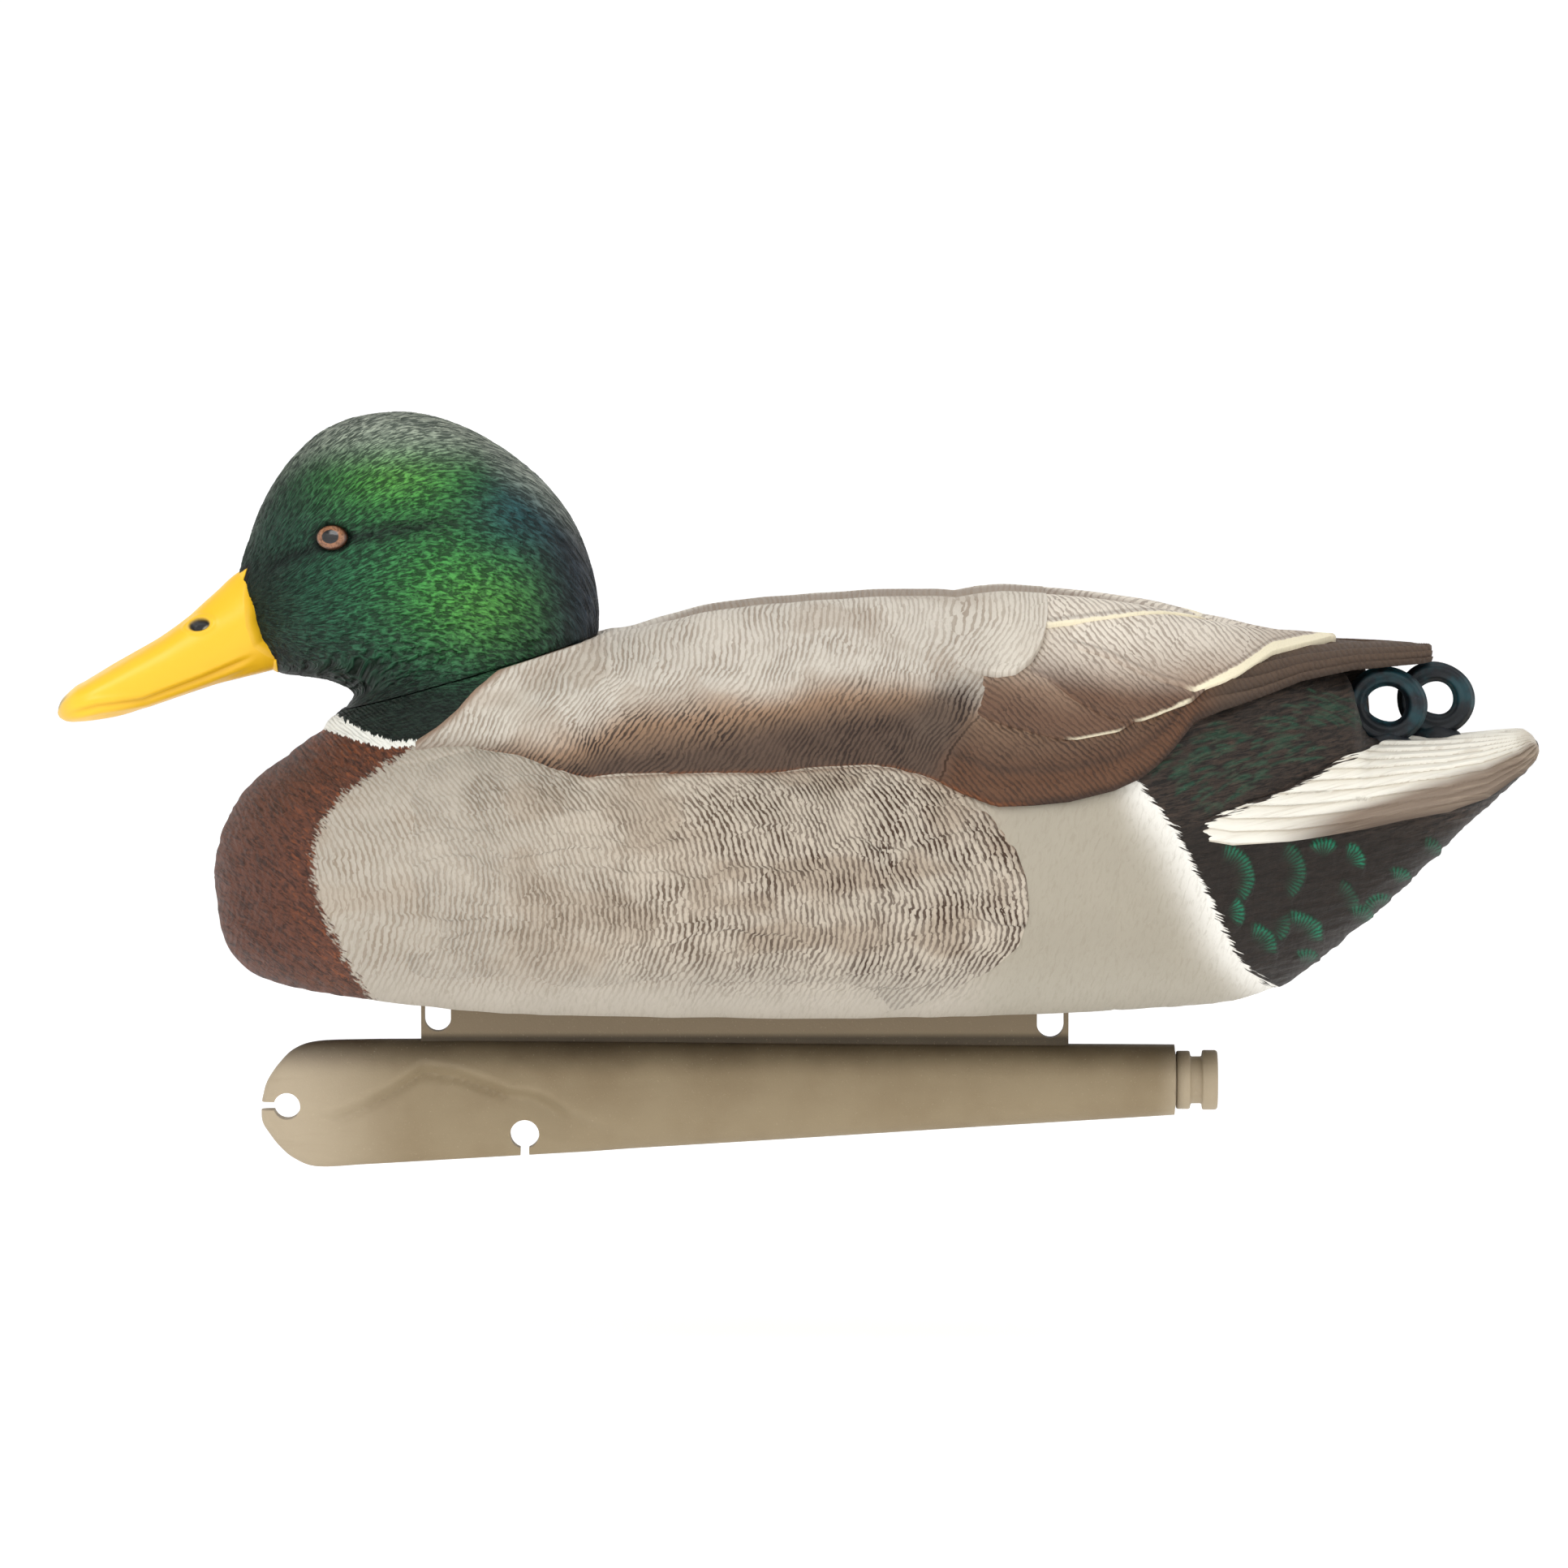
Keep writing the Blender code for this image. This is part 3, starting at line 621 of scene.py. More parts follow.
def back_band(x, v):
    """The grey-brown strip along the middle of the back."""
    return smooth(-0.5, 1.0, v - BACK_V(x)) * smooth(-50, -22, x) * \
        (1 - smooth(108, 120, x))


def wing_off(x, up):
    """Height of the folded wing over the hull's surface."""
    rear = smooth(44, 60, x)
    front = 0.25 - 0.9 * gauss(up - 4.0, 5.0) + 1.2 * smooth(3, 17, up)
    back = 0.35 + 1.9 * (1 - smooth(8, 24, up))
    s = smooth(118, 132, x)
    return (front * (1 - rear) + back * rear) * (1 - s) + 0.25 * s


def head_flow(x, z, y=0.0):
    q1 = np.hypot(x + 150, z - 92)
    q2 = np.arctan2(z - 92.0, x + 150.0) * 40 + 0.9 * y
    wig = (fbm(x / 6.0, z / 6.0, 101, 2) - 0.5) * 3.0
    worm = fbm(q1 / 2.6 + wig * 0.35, q2 / 1.05 + wig, 103, 2)
    worm = np.clip(1 - np.abs(worm - 0.5) * 4.6, -0.5, 1)
    return q1, q2, worm


def head_paint(P, n):
    x, z = P[..., 0], P[..., 2]
    sidew = smooth(6, 14, np.abs(P[..., 1]))
    col = np.broadcast_to(srgb(28, 44, 38), x.shape + (3,)).copy()
    col = mixc(col, srgb(30, 76, 55), gauss(x + 112, 34) * gauss(z - 96, 26))
    col = mixc(col, srgb(30, 70, 50), gauss(x + 92, 26) * gauss(z - 74, 16) * 0.8)
    col = mixc(col, srgb(50, 120, 52), 1.00 * gauss(x + 101, 22) * gauss(z - 125, 10))
    col = mixc(col, srgb(48, 116, 54), 1.10 * gauss(x + 87, 21) * gauss(z - 98, 16))
    col = mixc(col, srgb(76, 134, 56), 0.55 * gauss(x + 79, 14) * gauss(z - 92, 12))
    col = mixc(col, srgb(90, 140, 62), 0.45 * gauss(x + 102, 13) * gauss(z - 127, 6))
    nape = smooth(-72, -52, x + (z - 100) * 0.35)
    col = mixc(col, srgb(28, 34, 48), nape * 0.85)
    col = mixc(col, srgb(24, 66, 72), gauss(x + 70, 12) * gauss(z - 117, 12) * 0.7)
    # painted highlight: a pale grey sheen over the crown
    crown_sheen = smooth(126, 141, z + np.maximum(0, x + 80) * 0.75
                   + np.maximum(0, -(x + 124)) * 0.35)
    # painted sheen: greyer on the upper head where the surface turns away from the side
    edge = smooth(0.72, 0.30, np.abs(n[..., 1]))
    col = mixc(col, srgb(158, 168, 152), crown_sheen * 0.66)
    col = mixc(col, srgb(88, 86, 82), edge * 0.34 * smooth(92, 112, z))
    eye_y = line([(-146, 98), (-132, 104.5), (-119.8, 109.4), (-104, 112.0),
                  (-88, 114.5), (-70, 116)])
    de = z - eye_y(x)
    run = smooth(-146, -136, x) * (1 - smooth(-100, -78, x))
    col = mixc(col, srgb(16, 28, 24), gauss(de, 2.2) * run * sidew * 0.8)
    face = smooth(-122, -142, x) * smooth(112, 100, z)
    col = mixc(col, srgb(28, 42, 36), face * 0.68)
    # painted shade: darker under the chin and throat
    under_chin_shade = smooth(82, 68, z + (x + 110) * 0.22)
    col = mixc(col, srgb(20, 28, 24), under_chin_shade * 0.80)
    return col, de, run, sidew


def head_layers(m, base):
    """Fine wormy feather strokes over the given base colour."""
    f1, f2 = m.attr("flow1"), m.attr("flow2")
    uv = m.xyz(m.math("MULTIPLY", f1, 0.48), m.math("MULTIPLY", f2, 1.70))
    hair = m.noise(uv, 1.0, 2.0, 0.55, 0.5)
    dk = m.mix(base, (0.22, 0.26, 0.25, 1), 1.0, "MULTIPLY")
    lt = m.mix(base, (2.0, 1.9, 1.9, 1), 1.0, "MULTIPLY")
    worm = m.attr("worm")
    low = m.band(m.math("SUBTRACT", m.math("MULTIPLY", hair, 1.0),
                        m.math("MULTIPLY", worm, 0.10)), 0.45, 0.53)
    high = m.band(m.math("SUBTRACT", m.math("MULTIPLY", worm, 0.10), hair), -0.42, -0.33)
    col = m.mix(base, dk, m.math("MULTIPLY", low, 0.85))
    col = m.mix(col, lt, m.math("MULTIPLY", high, 0.85))
    h = m.math("SUBTRACT", m.math("MULTIPLY", worm, 0.5), m.math("MULTIPLY", hair, 2.2))
    return col, h, hair


def bars(n, sx, sv, uv):
    """Dark wavy bars on the phase field, broken into dashes."""
    vo = n.node("ShaderNodeTexVoronoi")
    n.put(vo.inputs["Vector"], n.xyz(n.math("MULTIPLY", sx, 0.16),
                                     n.math("MULTIPLY", sv, 0.17)))
    vo.inputs["Scale"].default_value = 1.0
    sp = n.node("ShaderNodeSeparateColor")
    n.put(sp.inputs[0], vo.outputs["Color"])
    wob = n.math("MULTIPLY", n.math("SUBTRACT", n.noise(uv, 0.55, 2.0), 0.5), 0.7)
    ph = n.math("ADD", n.attr("phase"), wob)
    ph = n.math("ADD", ph, n.math("MULTIPLY", sp.outputs[0], 0.42))
    wave = n.math("SINE", n.math("MULTIPLY", ph, 2 * math.pi))
    gaps = n.noise(n.xyz(n.math("MULTIPLY", sx, 0.50), n.math("MULTIPLY", sv, 0.32)),
                   1.0, 2.0, 0.6)
    cut = n.span(gaps, 0.34, 0.62, 0.62, -0.30)
    mask = n.band(wave, cut, n.math("ADD", cut, 0.50))
    strength = n.span(n.noise(uv, 0.11, 2.0), 0.36, 0.62, 0.66, 1.1)
    mask = n.math("MULTIPLY", mask, n.math("MULTIPLY", n.attr("amt"), strength),
                  clamp=True)
    grain = n.noise(uv, 1.2, 3.0, 0.6)
    return mask, wave, grain, strength


def tail_material():
    n = Nodes("painted_tail")
    sx, sv = n.attr("sx"), n.attr("sv")
    c, s = math.cos(math.radians(13)), math.sin(math.radians(13))

    def turned(along, across):
        a = n.math("ADD", n.math("MULTIPLY", sx, c * along), n.math("MULTIPLY", sv, s * along))
        b = n.math("ADD", n.math("MULTIPLY", sx, -s * across), n.math("MULTIPLY", sv, c * across))
        return n.xyz(a, b)

    vane = n.noise(turned(0.06, 1.5), 1.0, 3.0, 0.6, 0.3)
    col = n.mix(n.colour("paint"), n.colour("ink"),
                n.math("MULTIPLY", n.band(vane, 0.50, 0.72), 0.30))
    bark = n.noise(turned(0.22, 1.25), 1.0, 3.0, 0.68, 1.0)
    covert = n.mix(rgba(srgb(56, 46, 39)), rgba(srgb(28, 24, 21)), n.band(bark, 0.42, 0.62))
    tips = n.noise(turned(0.10, 1.35), 1.0, 2.0, 0.7)
    d = n.math("ADD", n.attr("d_up"), n.math("MULTIPLY", n.math("SUBTRACT", tips, 0.5), 9.0))
    col = n.mix(col, covert, n.band(d, 0.75, 0.25))
    h = n.math("ADD", n.math("MULTIPLY", vane, 1.6), n.math("MULTIPLY", n.attr("saw"), -0.4))
    return n.done(col, n.span(vane, 0.3, 0.7, 0.55, 0.72), n.bump(h, 0.7, 0.0003), 0.28)


def skin_attrs(P, n, col, ink, amt, phase, relief):
    """The full set of attributes the skin material reads."""
    x, v = P[..., 0], side_v(P)
    Q = np.stack([x, v], -1)
    at = attributes(x, v, col, ink, amt, phase, 1.8, relief)
    u, y, h = to_neck(P)
    rho = np.sqrt((u / 36.2) ** 2 + (y / 29) ** 2)
    near = (rho < 1.35) & (P[..., 2] > 55)
    front = (x < -78) & (P[..., 2] > 30)
    ru, rl = signed(Q, RING_UP), signed(Q, RING_LOW)
    at["d_breast"] = np.where(x > -60, -30, -signed(Q, BREAST)).ravel()
    at["d_ring_up"] = np.where(front, ru, np.where(near, 8, -40)).ravel()
    at["d_ring_low"] = np.where(front, rl, np.where(near, 8, -40)).ravel()
    at["d_dark"] = np.where(x < 80, -40, signed(Q, DARK)).ravel()
    g, ha = green_marks(x, v) if x.max() > 100 else (np.zeros_like(x), np.zeros_like(x))
    at["green"], at["hatch"] = g.ravel(), ha.ravel()
    hc, _, _, _ = head_paint(P, n)
    q1, q2, worm = head_flow(x, P[..., 2], P[..., 1])
    at["headc"] = hc.reshape(-1, 3)
    at["flow1"], at["flow2"], at["worm"] = q1.ravel(), q2.ravel(), worm.ravel()
    return at


# patches of short green strokes on the upper coverts: x, v, count, lean
TUFTS = [(108.5, 47.5, 5, 24), (115.0, 46.5, 6, 18), (119.0, 54.0, 7, 14),
         (124.5, 52.0, 6, 12), (134.0, 49.5, 6, 20), (128.5, 44.5, 6, 24),
         (145.5, 60.0, 6, -8), (156.0, 60.5, 8, -30), (151.5, 63.0, 6, -18),
         (125.0, 41.0, 4, 26), (112.5, 42.5, 4, 28), (138.5, 56.0, 6, 4),
         (143.0, 50.5, 5, 16), (117.0, 37.5, 4, 26)]


def green_marks(x, v):
    g, hatch = np.zeros(np.shape(x)), np.zeros(np.shape(x))
    for cx, cv, r, a0, a1, w in ARCS:
        dx, dv = x - cx, v - cv
        rr = np.hypot(dx, dv)
        ang = np.degrees(np.arctan2(dv, dx))
        rr = rr + (fbm(x / 3.0, v / 3.0, 23, 2) - 0.5) * 1.1
        band = np.where(rr < r, gauss(rr - r, 2.3), gauss(rr - r, 0.5))
        band = band * (0.45 + 0.9 * fbm(x / 2.2, v / 2.2, 29, 2)).clip(0, 1)
        band = band * smooth(a0 - 10, a0 + 12, ang) * (1 - smooth(a1 - 12, a1 + 10, ang)) * w
        hatch = np.where(band > g, np.radians(ang) * r * 2 * math.pi / 1.15, hatch)
        g = np.maximum(g, band)
    rng = np.random.RandomState(5)
    for cx, cv, count, lean in TUFTS:
        for _ in range(int(count * 2.4)):
            px, pv = cx + rng.uniform(-5, 5), cv + rng.uniform(-3.6, 3.6)
            a = math.radians(lean + rng.uniform(-9, 9))
            half = rng.uniform(1.6, 4.2)
            dx, dv = x - px, v - pv
            al = dx * math.cos(a) + dv * math.sin(a)
            ac = -dx * math.sin(a) + dv * math.cos(a) + 0.05 * al * al
            m = gauss(ac, 0.34) * smooth(half, half * 0.4, np.abs(al)) * rng.uniform(0.4, 1.0)
            hatch = np.where(m > g, math.pi / 2, hatch)
            g = np.maximum(g, m)
    return g, hatch


def finish_mesh(name, V, faces, at, mat, body, replaces=(), merge=False):
    me = bpy.data.meshes.new(name)
    me.from_pydata((np.asarray(V) * MM).tolist(), [], faces)
    for key, val in (at or {}).items():
        val = np.asarray(val, float)
        if val.ndim == 1:
            t_ = me.attributes.new(key, "FLOAT", "POINT")
            t_.data.foreach_set("value", val.ravel())
        else:
            t_ = me.attributes.new(key, "FLOAT_VECTOR", "POINT")
            t_.data.foreach_set("vector", val.ravel())
    bm = bmesh.new()
    bm.from_mesh(me)
    if merge:
        bmesh.ops.remove_doubles(bm, verts=bm.verts[:], dist=1e-7)
    bmesh.ops.recalc_face_normals(bm, faces=bm.faces[:])
    bm.to_mesh(me)
    bm.free()
    me.polygons.foreach_set("use_smooth", [True] * len(me.polygons))
    me.materials.append(mat)
    ob = bpy.data.objects.new(name, me)
    bpy.context.scene.collection.objects.link(ob)
    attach(ob, body)
    if replaces:
        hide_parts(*replaces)
    return ob


def build_collar(skin):
    """Dense skin of the neck's foot and the white ring, laid on the hull."""
    from mathutils.bvhtree import BVHTree
    me = skin.data
    co = np.empty(len(me.vertices) * 3)
    me.vertices.foreach_get("co", co)
    bvh = BVHTree.FromPolygons([tuple(v) for v in co.reshape(-1, 3)],
                               [tuple(p.vertices) for p in me.polygons])
    nth, nr = 440, 96
    th = np.linspace(0, 2 * math.pi, nth, endpoint=False)
    c, s = np.cos(th), np.sin(th)
    reach = np.where(c < 0, 1.95 - 0.40 * c * c, 1.95 - 0.62 * c * c)
    t = np.linspace(0, 1, nr)
    rho = 1.0 + (reach[None, :] - 1.0) * (t[:, None] ** 1.15)
    U, Y = 36.2 * rho * c[None, :], 29.0 * rho * s[None, :]
    start = from_neck(U, Y, np.full(U.shape, 3.0))
    down = Vector((-NH * 1.0).tolist())
    P = start.copy()
    for j in range(nth):
        last = None
        for i in range(nr):
            hit = bvh.ray_cast(Vector((start[i, j] * MM).tolist()), down, 0.09)[0]
            if hit is not None:
                last = np.array(hit) / MM
            if last is None:
                last = from_neck(U[i:i + 1, j], Y[i:i + 1, j], np.array([-0.2]))[0]
            P[i, j] = last
    # even out the ray samples
    for _ in range(2):
        Q = P.copy()
        Q[1:-1] = (P[:-2] + 2 * P[1:-1] + P[2:]) / 4
        P = (np.roll(Q, 1, 1) + 2 * Q + np.roll(Q, -1, 1)) / 4
    n = grid_normals(P, True)
    if (n @ NH).mean() < 0:
        n = -n
    x, v = P[..., 0], side_v(P)
    q1, q2, worm = head_flow(x, P[..., 2], P[..., 1])
    Qv = np.stack([x, v], -1)
    green = smooth(-0.5, 1.5, signed(Qv, RING_UP))
    ringz = smooth(-0.6, 0.6, signed(Qv, RING_LOW)) * (1 - green)
    spikes = noise2(x / 0.9, v / 3.5, 131) - 0.5
    d = 0.35 + green * worm * 0.24 + ringz * (0.25 + 0.3 * spikes)
    rim = smooth(0.0, 0.05, t)[:, None]
    d = d * rim - 1.3 * smooth(0.90, 1.0, t)[:, None]
    top = P + n * d[..., None]
    u_, y_, h_ = to_neck(top)
    h_ = np.where(h_ > -0.06, -0.06, h_)
    top = from_neck(u_, y_, h_)
    top = clear_head_soft(top)
    bot = P - n * 1.6
    bot[0] = P[0] - NH * 1.8
    col, ink, amt = flank_paint(x, v)
    at = skin_attrs(P, n, col, ink, amt, flank_field(x, v), amt * 1.1)
    M = nr * nth
    V = np.concatenate([top.reshape(-1, 3), bot.reshape(-1, 3)])
    F = [tuple(f) for f in grid_faces(nr, nth, True).tolist()]
    F += [tuple(f) for f in grid_faces(nr, nth, True, base=M, flip=True).tolist()]
    j = np.arange(nth)
    j2 = np.roll(j, -1)
    F += [(int(a), int(b), int(M + b), int(M + a)) for a, b in zip(j2, j)]
    e = (nr - 1) * nth
    F += [(int(e + a), int(e + b), int(M + e + b), int(M + e + a)) for a, b in zip(j, j2)]
    at = {k: np.concatenate([np.asarray(a_)] * 2) for k, a_ in at.items()}
    finish_mesh("neck_collar", V, F, at, MAT_SKIN, "hull")


def clear_head_soft(P):
    u, y, h = to_neck(P)
    return from_neck(u, y, np.where((np.hypot(u, y) < 40) & (h > -6), np.minimum(h, -0.06), h))


def scoop(P):
    """Hollow the rump's rear wall where the curls stand."""
    x, y, z = P[..., 0], P[..., 1], P[..., 2]
    w = gauss(y, 9.0) ** 1.0 * smooth(154.5, 158.5, x) * (1 - smooth(166, 170, x)) * (z > 53)
    z = z - w * np.maximum(z - 54.0, 0) * 0.85
    return np.stack([x, y, z], -1)


def build_rump(side, tag):
    """Fine rear skin: white rump, dark coverts and the wedge under the tail."""
    xs = np.concatenate([np.linspace(91, 150, 150, endpoint=False),
                         np.linspace(150, 168, 56, endpoint=False),
                         np.linspace(168, X1, 96)])
    nv = 300
    a = np.linspace(-math.pi / 2, math.pi / 2, nv)
    P = section(xs[:, None], a[None, :])
    N = outward(P)
    x, v, Q, col, amt, dd = base_paint(P)
    dark = smooth(-0.8, 1.2, dd)
    al, ac = x * 0.97 + v * 0.24, -x * 0.24 + v * 0.97
    streak = fbm(al / 6.0, ac / 1.05, 111, 2) - 0.5
    g, _ = green_marks(x, v)
    scale = np.zeros_like(x)
    for cx, cv, r, a0, a1, w in ARCS:
        rr = np.hypot(x - cx, v - cv)
        ang = np.degrees(np.arctan2(v - cv, x - cx))
        face = smooth(a0 - 40, a0, ang) * (1 - smooth(a1, a1 + 40, ang))
        scale = np.maximum(scale, face * smooth(r * 0.3, r, rr) * smooth(r + 0.7, r, rr))
    ripple = fbm((x * 0.9 - v * 0.42) / 5.5, (x * 0.42 + v * 0.9) / 1.6, 113, 2) - 0.5
    d = -0.5 + 0.55 * smooth(91, 96, x) + dark * (0.55 + streak * 0.8 + 0.55 * scale + g * 0.12)
    d = d + (1 - dark) * ripple * 0.30
    under = smooth(0.4, 3.0, v - WING_EDGE(x))
    d = d - under * (1 - smooth(120, 136, x)) * 3.0 - 3.2 * under * gauss(P[..., 1], 13) * \
        (1 - smooth(136, 150, x))
    d = np.where(x > X1 - 1.5, np.minimum(d, 0.1), d)
    P = P + N * d[..., None]
    P = scoop(P)
    P[:, 0, 1] = 0
    P[:, -1, 1] = 0
    P[..., 1] = np.maximum(P[..., 1], 0)
    # the coverts rise to a low crest under the wing tips, ahead of the curls
    crest = gauss(P[..., 1], 2.0) * smooth(153.5, 156.5, x) * (P[..., 2] > 40)
    want = 74.8 - 9.0 * smooth(162.2, 165.4, x)
    P[..., 2] = P[..., 2] + np.maximum(want - P[..., 2], 0) * crest * \
        (1 - smooth(163.6, 165.6, x))
    ink = np.broadcast_to(flank_paint(x, v)[1], P.shape)
    at = skin_attrs(P, N, col, ink, amt, flank_field(x, v), amt * 1.1)
    if side < 0:
        P = P * [1, -1, 1]
    nu = len(xs)
    V = P.reshape(-1, 3)
    F = [tuple(f) for f in grid_faces(nu, nv).tolist()]
    i = np.arange(nu - 1) * nv
    F += [(int(p + nv), int(p), int(p + nv - 1), int(p + 2 * nv - 1)) for p in i]
    F.append(tuple(int(q) for q in range(nv - 1, -1, -1)))
    F.append(tuple(int(q) for q in range((nu - 1) * nv, nu * nv)))
    finish_mesh("rump_" + tag, V, F, at, MAT_SKIN, "hull", merge=False)


BILL_OUTLINE = np.array([(-143.5, 100.4), (-145.2, 95.5), (-145.6, 90.5), (-144.6, 84.9),
                         (-142.6, 79.3), (-138.6, 76.6), (-135.6, 75.3), (-135.3, 72.0),
                         (-150, 60), (-190, 50), (-190, 80), (-151.4, 95.6)], float)


def poly_distance(Q, poly):
    """Signed distance to a closed outline, positive inside."""
    best = np.full(Q.shape[:-1], 1e9)
    inside = np.zeros(Q.shape[:-1], bool)
    for a, b in zip(poly, np.roll(poly, -1, 0)):
        ab = b - a
        t = np.clip(((Q - a) @ ab) / (ab @ ab), 0, 1)
        best = np.minimum(best, np.linalg.norm(Q - (a + t[..., None] * ab), axis=-1))
        cond = (a[1] > Q[..., 1]) != (b[1] > Q[..., 1])
        with np.errstate(divide="ignore", invalid="ignore"):
            xc = (b[0] - a[0]) * (Q[..., 1] - a[1]) / (b[1] - a[1] + 1e-12) + a[0]
        inside ^= cond & (Q[..., 0] < xc)
    return np.where(inside, best, -best)


# ------------------------------------------------------------------ materials
def hull_material():
    n = Nodes("painted_hull")
    sx, sv = n.attr("sx"), n.attr("sv")
    uv = n.xyz(sx, sv)
    mask, wave, grain, strength = bars(n, sx, sv, uv)
    col = n.mix(n.colour("paint"), n.colour("ink"), mask)
    fine = n.noise(uv, 2.2, 2.0, 0.6)
    col = n.mix(col, n.mix(col, (0.5, 0.46, 0.42, 1), 1.0, "MULTIPLY"),
                n.math("MULTIPLY", n.band(fine, 0.5, 0.85), 0.30))
    h = n.math("MULTIPLY", n.math("MULTIPLY", wave, -0.5), n.attr("relief"))
    h = n.math("MULTIPLY", h, strength)
    h = n.math("ADD", h, n.math("MULTIPLY", grain, 0.45))
    normal = n.bump(h, 0.95, 0.00042)
    rough = n.span(grain, 0.3, 0.7, 0.60, 0.76)
    return n.done(col, rough, normal, spec=0.28)


def skin_material():
    """Hull skin: as the hull paint, with crisp spiky feather boundaries."""
    n = Nodes("painted_skin")
    sx, sv = n.attr("sx"), n.attr("sv")
    uv = n.xyz(sx, sv)

    def turned(deg, along, across):
        c, s = math.cos(math.radians(deg)), math.sin(math.radians(deg))
        a = n.math("ADD", n.math("MULTIPLY", sx, c * along), n.math("MULTIPLY", sv, s * along))
        b = n.math("ADD", n.math("MULTIPLY", sx, -s * across), n.math("MULTIPLY", sv, c * across))
        return n.xyz(a, b)

    def spiky(name, deg, along, across, amp, soft):
        s = n.noise(turned(deg, along, across), 1.0, 2.0, 0.65)
        d = n.math("ADD", n.attr(name),
                   n.math("MULTIPLY", n.math("SUBTRACT", s, 0.5), amp))
        return n.band(d, -soft, soft)

    mask, wave, grain, strength = bars(n, sx, sv, uv)
    col = n.mix(n.colour("paint"), n.colour("ink"), mask)
    ripple = n.noise(turned(74, 0.34, 1.05), 1.0, 3.0, 0.6, 0.8)
    col = n.mix(col, rgba(srgb(140, 130, 112)),
                n.math("MULTIPLY", n.band(ripple, 0.46, 0.74), 0.26))
    # breast: streaky chocolate with rust where it meets the flank and ring
    streak = n.noise(turned(-35, 0.35, 1.2), 1.0, 3.0, 0.65, 0.9)
    breast = n.mix(rgba(srgb(96, 58, 43)), rgba(srgb(55, 34, 26)), n.band(streak, 0.42, 0.64))
    flecks = n.noise(turned(-35, 0.40, 1.1), 1.0, 2.0, 0.7, 0.6)
    rusty = n.math("MULTIPLY", n.band(flecks, 0.50, 0.68), n.band(n.attr("d_breast"), 17.0, 0.5))
    rust_r = n.math("MULTIPLY", n.band(flecks, 0.46, 0.66), n.band(n.attr("d_ring_low"), -13.0, -1.0))
    breast = n.mix(breast, rgba(srgb(140, 78, 46)),
                   n.math("MULTIPLY", n.math("MAXIMUM", rusty, rust_r), 0.75))
    col = n.mix(col, breast, spiky("d_breast", -35, 0.42, 1.3, 8.5, 0.7))
    # dark coverts with green feather tips
    bark = n.noise(turned(14, 0.22, 1.25), 1.0, 3.0, 0.68, 1.0)
    covert = n.mix(rgba(srgb(56, 46, 39)), rgba(srgb(28, 24, 21)), n.band(bark, 0.42, 0.62))
    covert = n.mix(covert, rgba(srgb(86, 67, 55)),
                   n.math("MULTIPLY", n.band(bark, 0.42, 0.28), 0.45))
    low = n.math("MULTIPLY", n.band(sv, 34.0, 24.0), 0.75)
    covert = n.mix(covert, rgba(srgb(30, 24, 19)), low)
    hatch = n.band(n.math("SINE", n.math("ADD", n.attr("hatch"),
                                         n.math("MULTIPLY", n.noise(uv, 0.9, 2.0), 6.0))), -0.5, 0.6)
    green = n.math("MULTIPLY", n.attr("green"), n.math("ADD", n.math("MULTIPLY", hatch, 0.75), 0.25),
                   clamp=True)
    covert = n.mix(covert, rgba(srgb(26, 130, 96)), n.math("MULTIPLY", green, 0.88))
    m_dark = spiky("d_dark", -25, 0.13, 1.7, 6.5, 0.2)
    col = n.mix(col, covert, m_dark)
    # neck: white ring with ragged tips, then the head's dark green
    col = n.mix(col, rgba(C["ring"]), spiky("d_ring_low", 0, 0.9, 0.35, 2.6, 0.16))
    neck, nh, hair = head_layers(n, n.colour("headc"))
    m_neck = spiky("d_ring_up", 0, 1.1, 0.30, 4.2, 0.16)
    col = n.mix(col, neck, m_neck)
    h = n.math("MULTIPLY", n.math("MULTIPLY", wave, -0.5), n.attr("relief"))
    h = n.math("ADD", h, n.math("MULTIPLY", ripple, 0.6))
    h = n.math("ADD", h, n.math("MULTIPLY", n.math("MULTIPLY", bark, m_dark), 1.2))
    h = n.math("ADD", h, n.math("MULTIPLY", n.math("MULTIPLY", streak, spiky("d_breast", -35, 0.42, 1.3, 8.5, 0.7)), 1.8))
    h = n.math("ADD", h, n.math("MULTIPLY", n.math("MULTIPLY", nh, m_neck), 0.9))
    normal = n.bump(h, 0.8, 0.0004)
    rough = n.span(ripple, 0.3, 0.7, 0.56, 0.72)
    return n.done(col, rough, normal, spec=0.28)


MAT_HULL = hull_material()
MAT_SKIN = skin_material()
MAT_TAIL = tail_material()


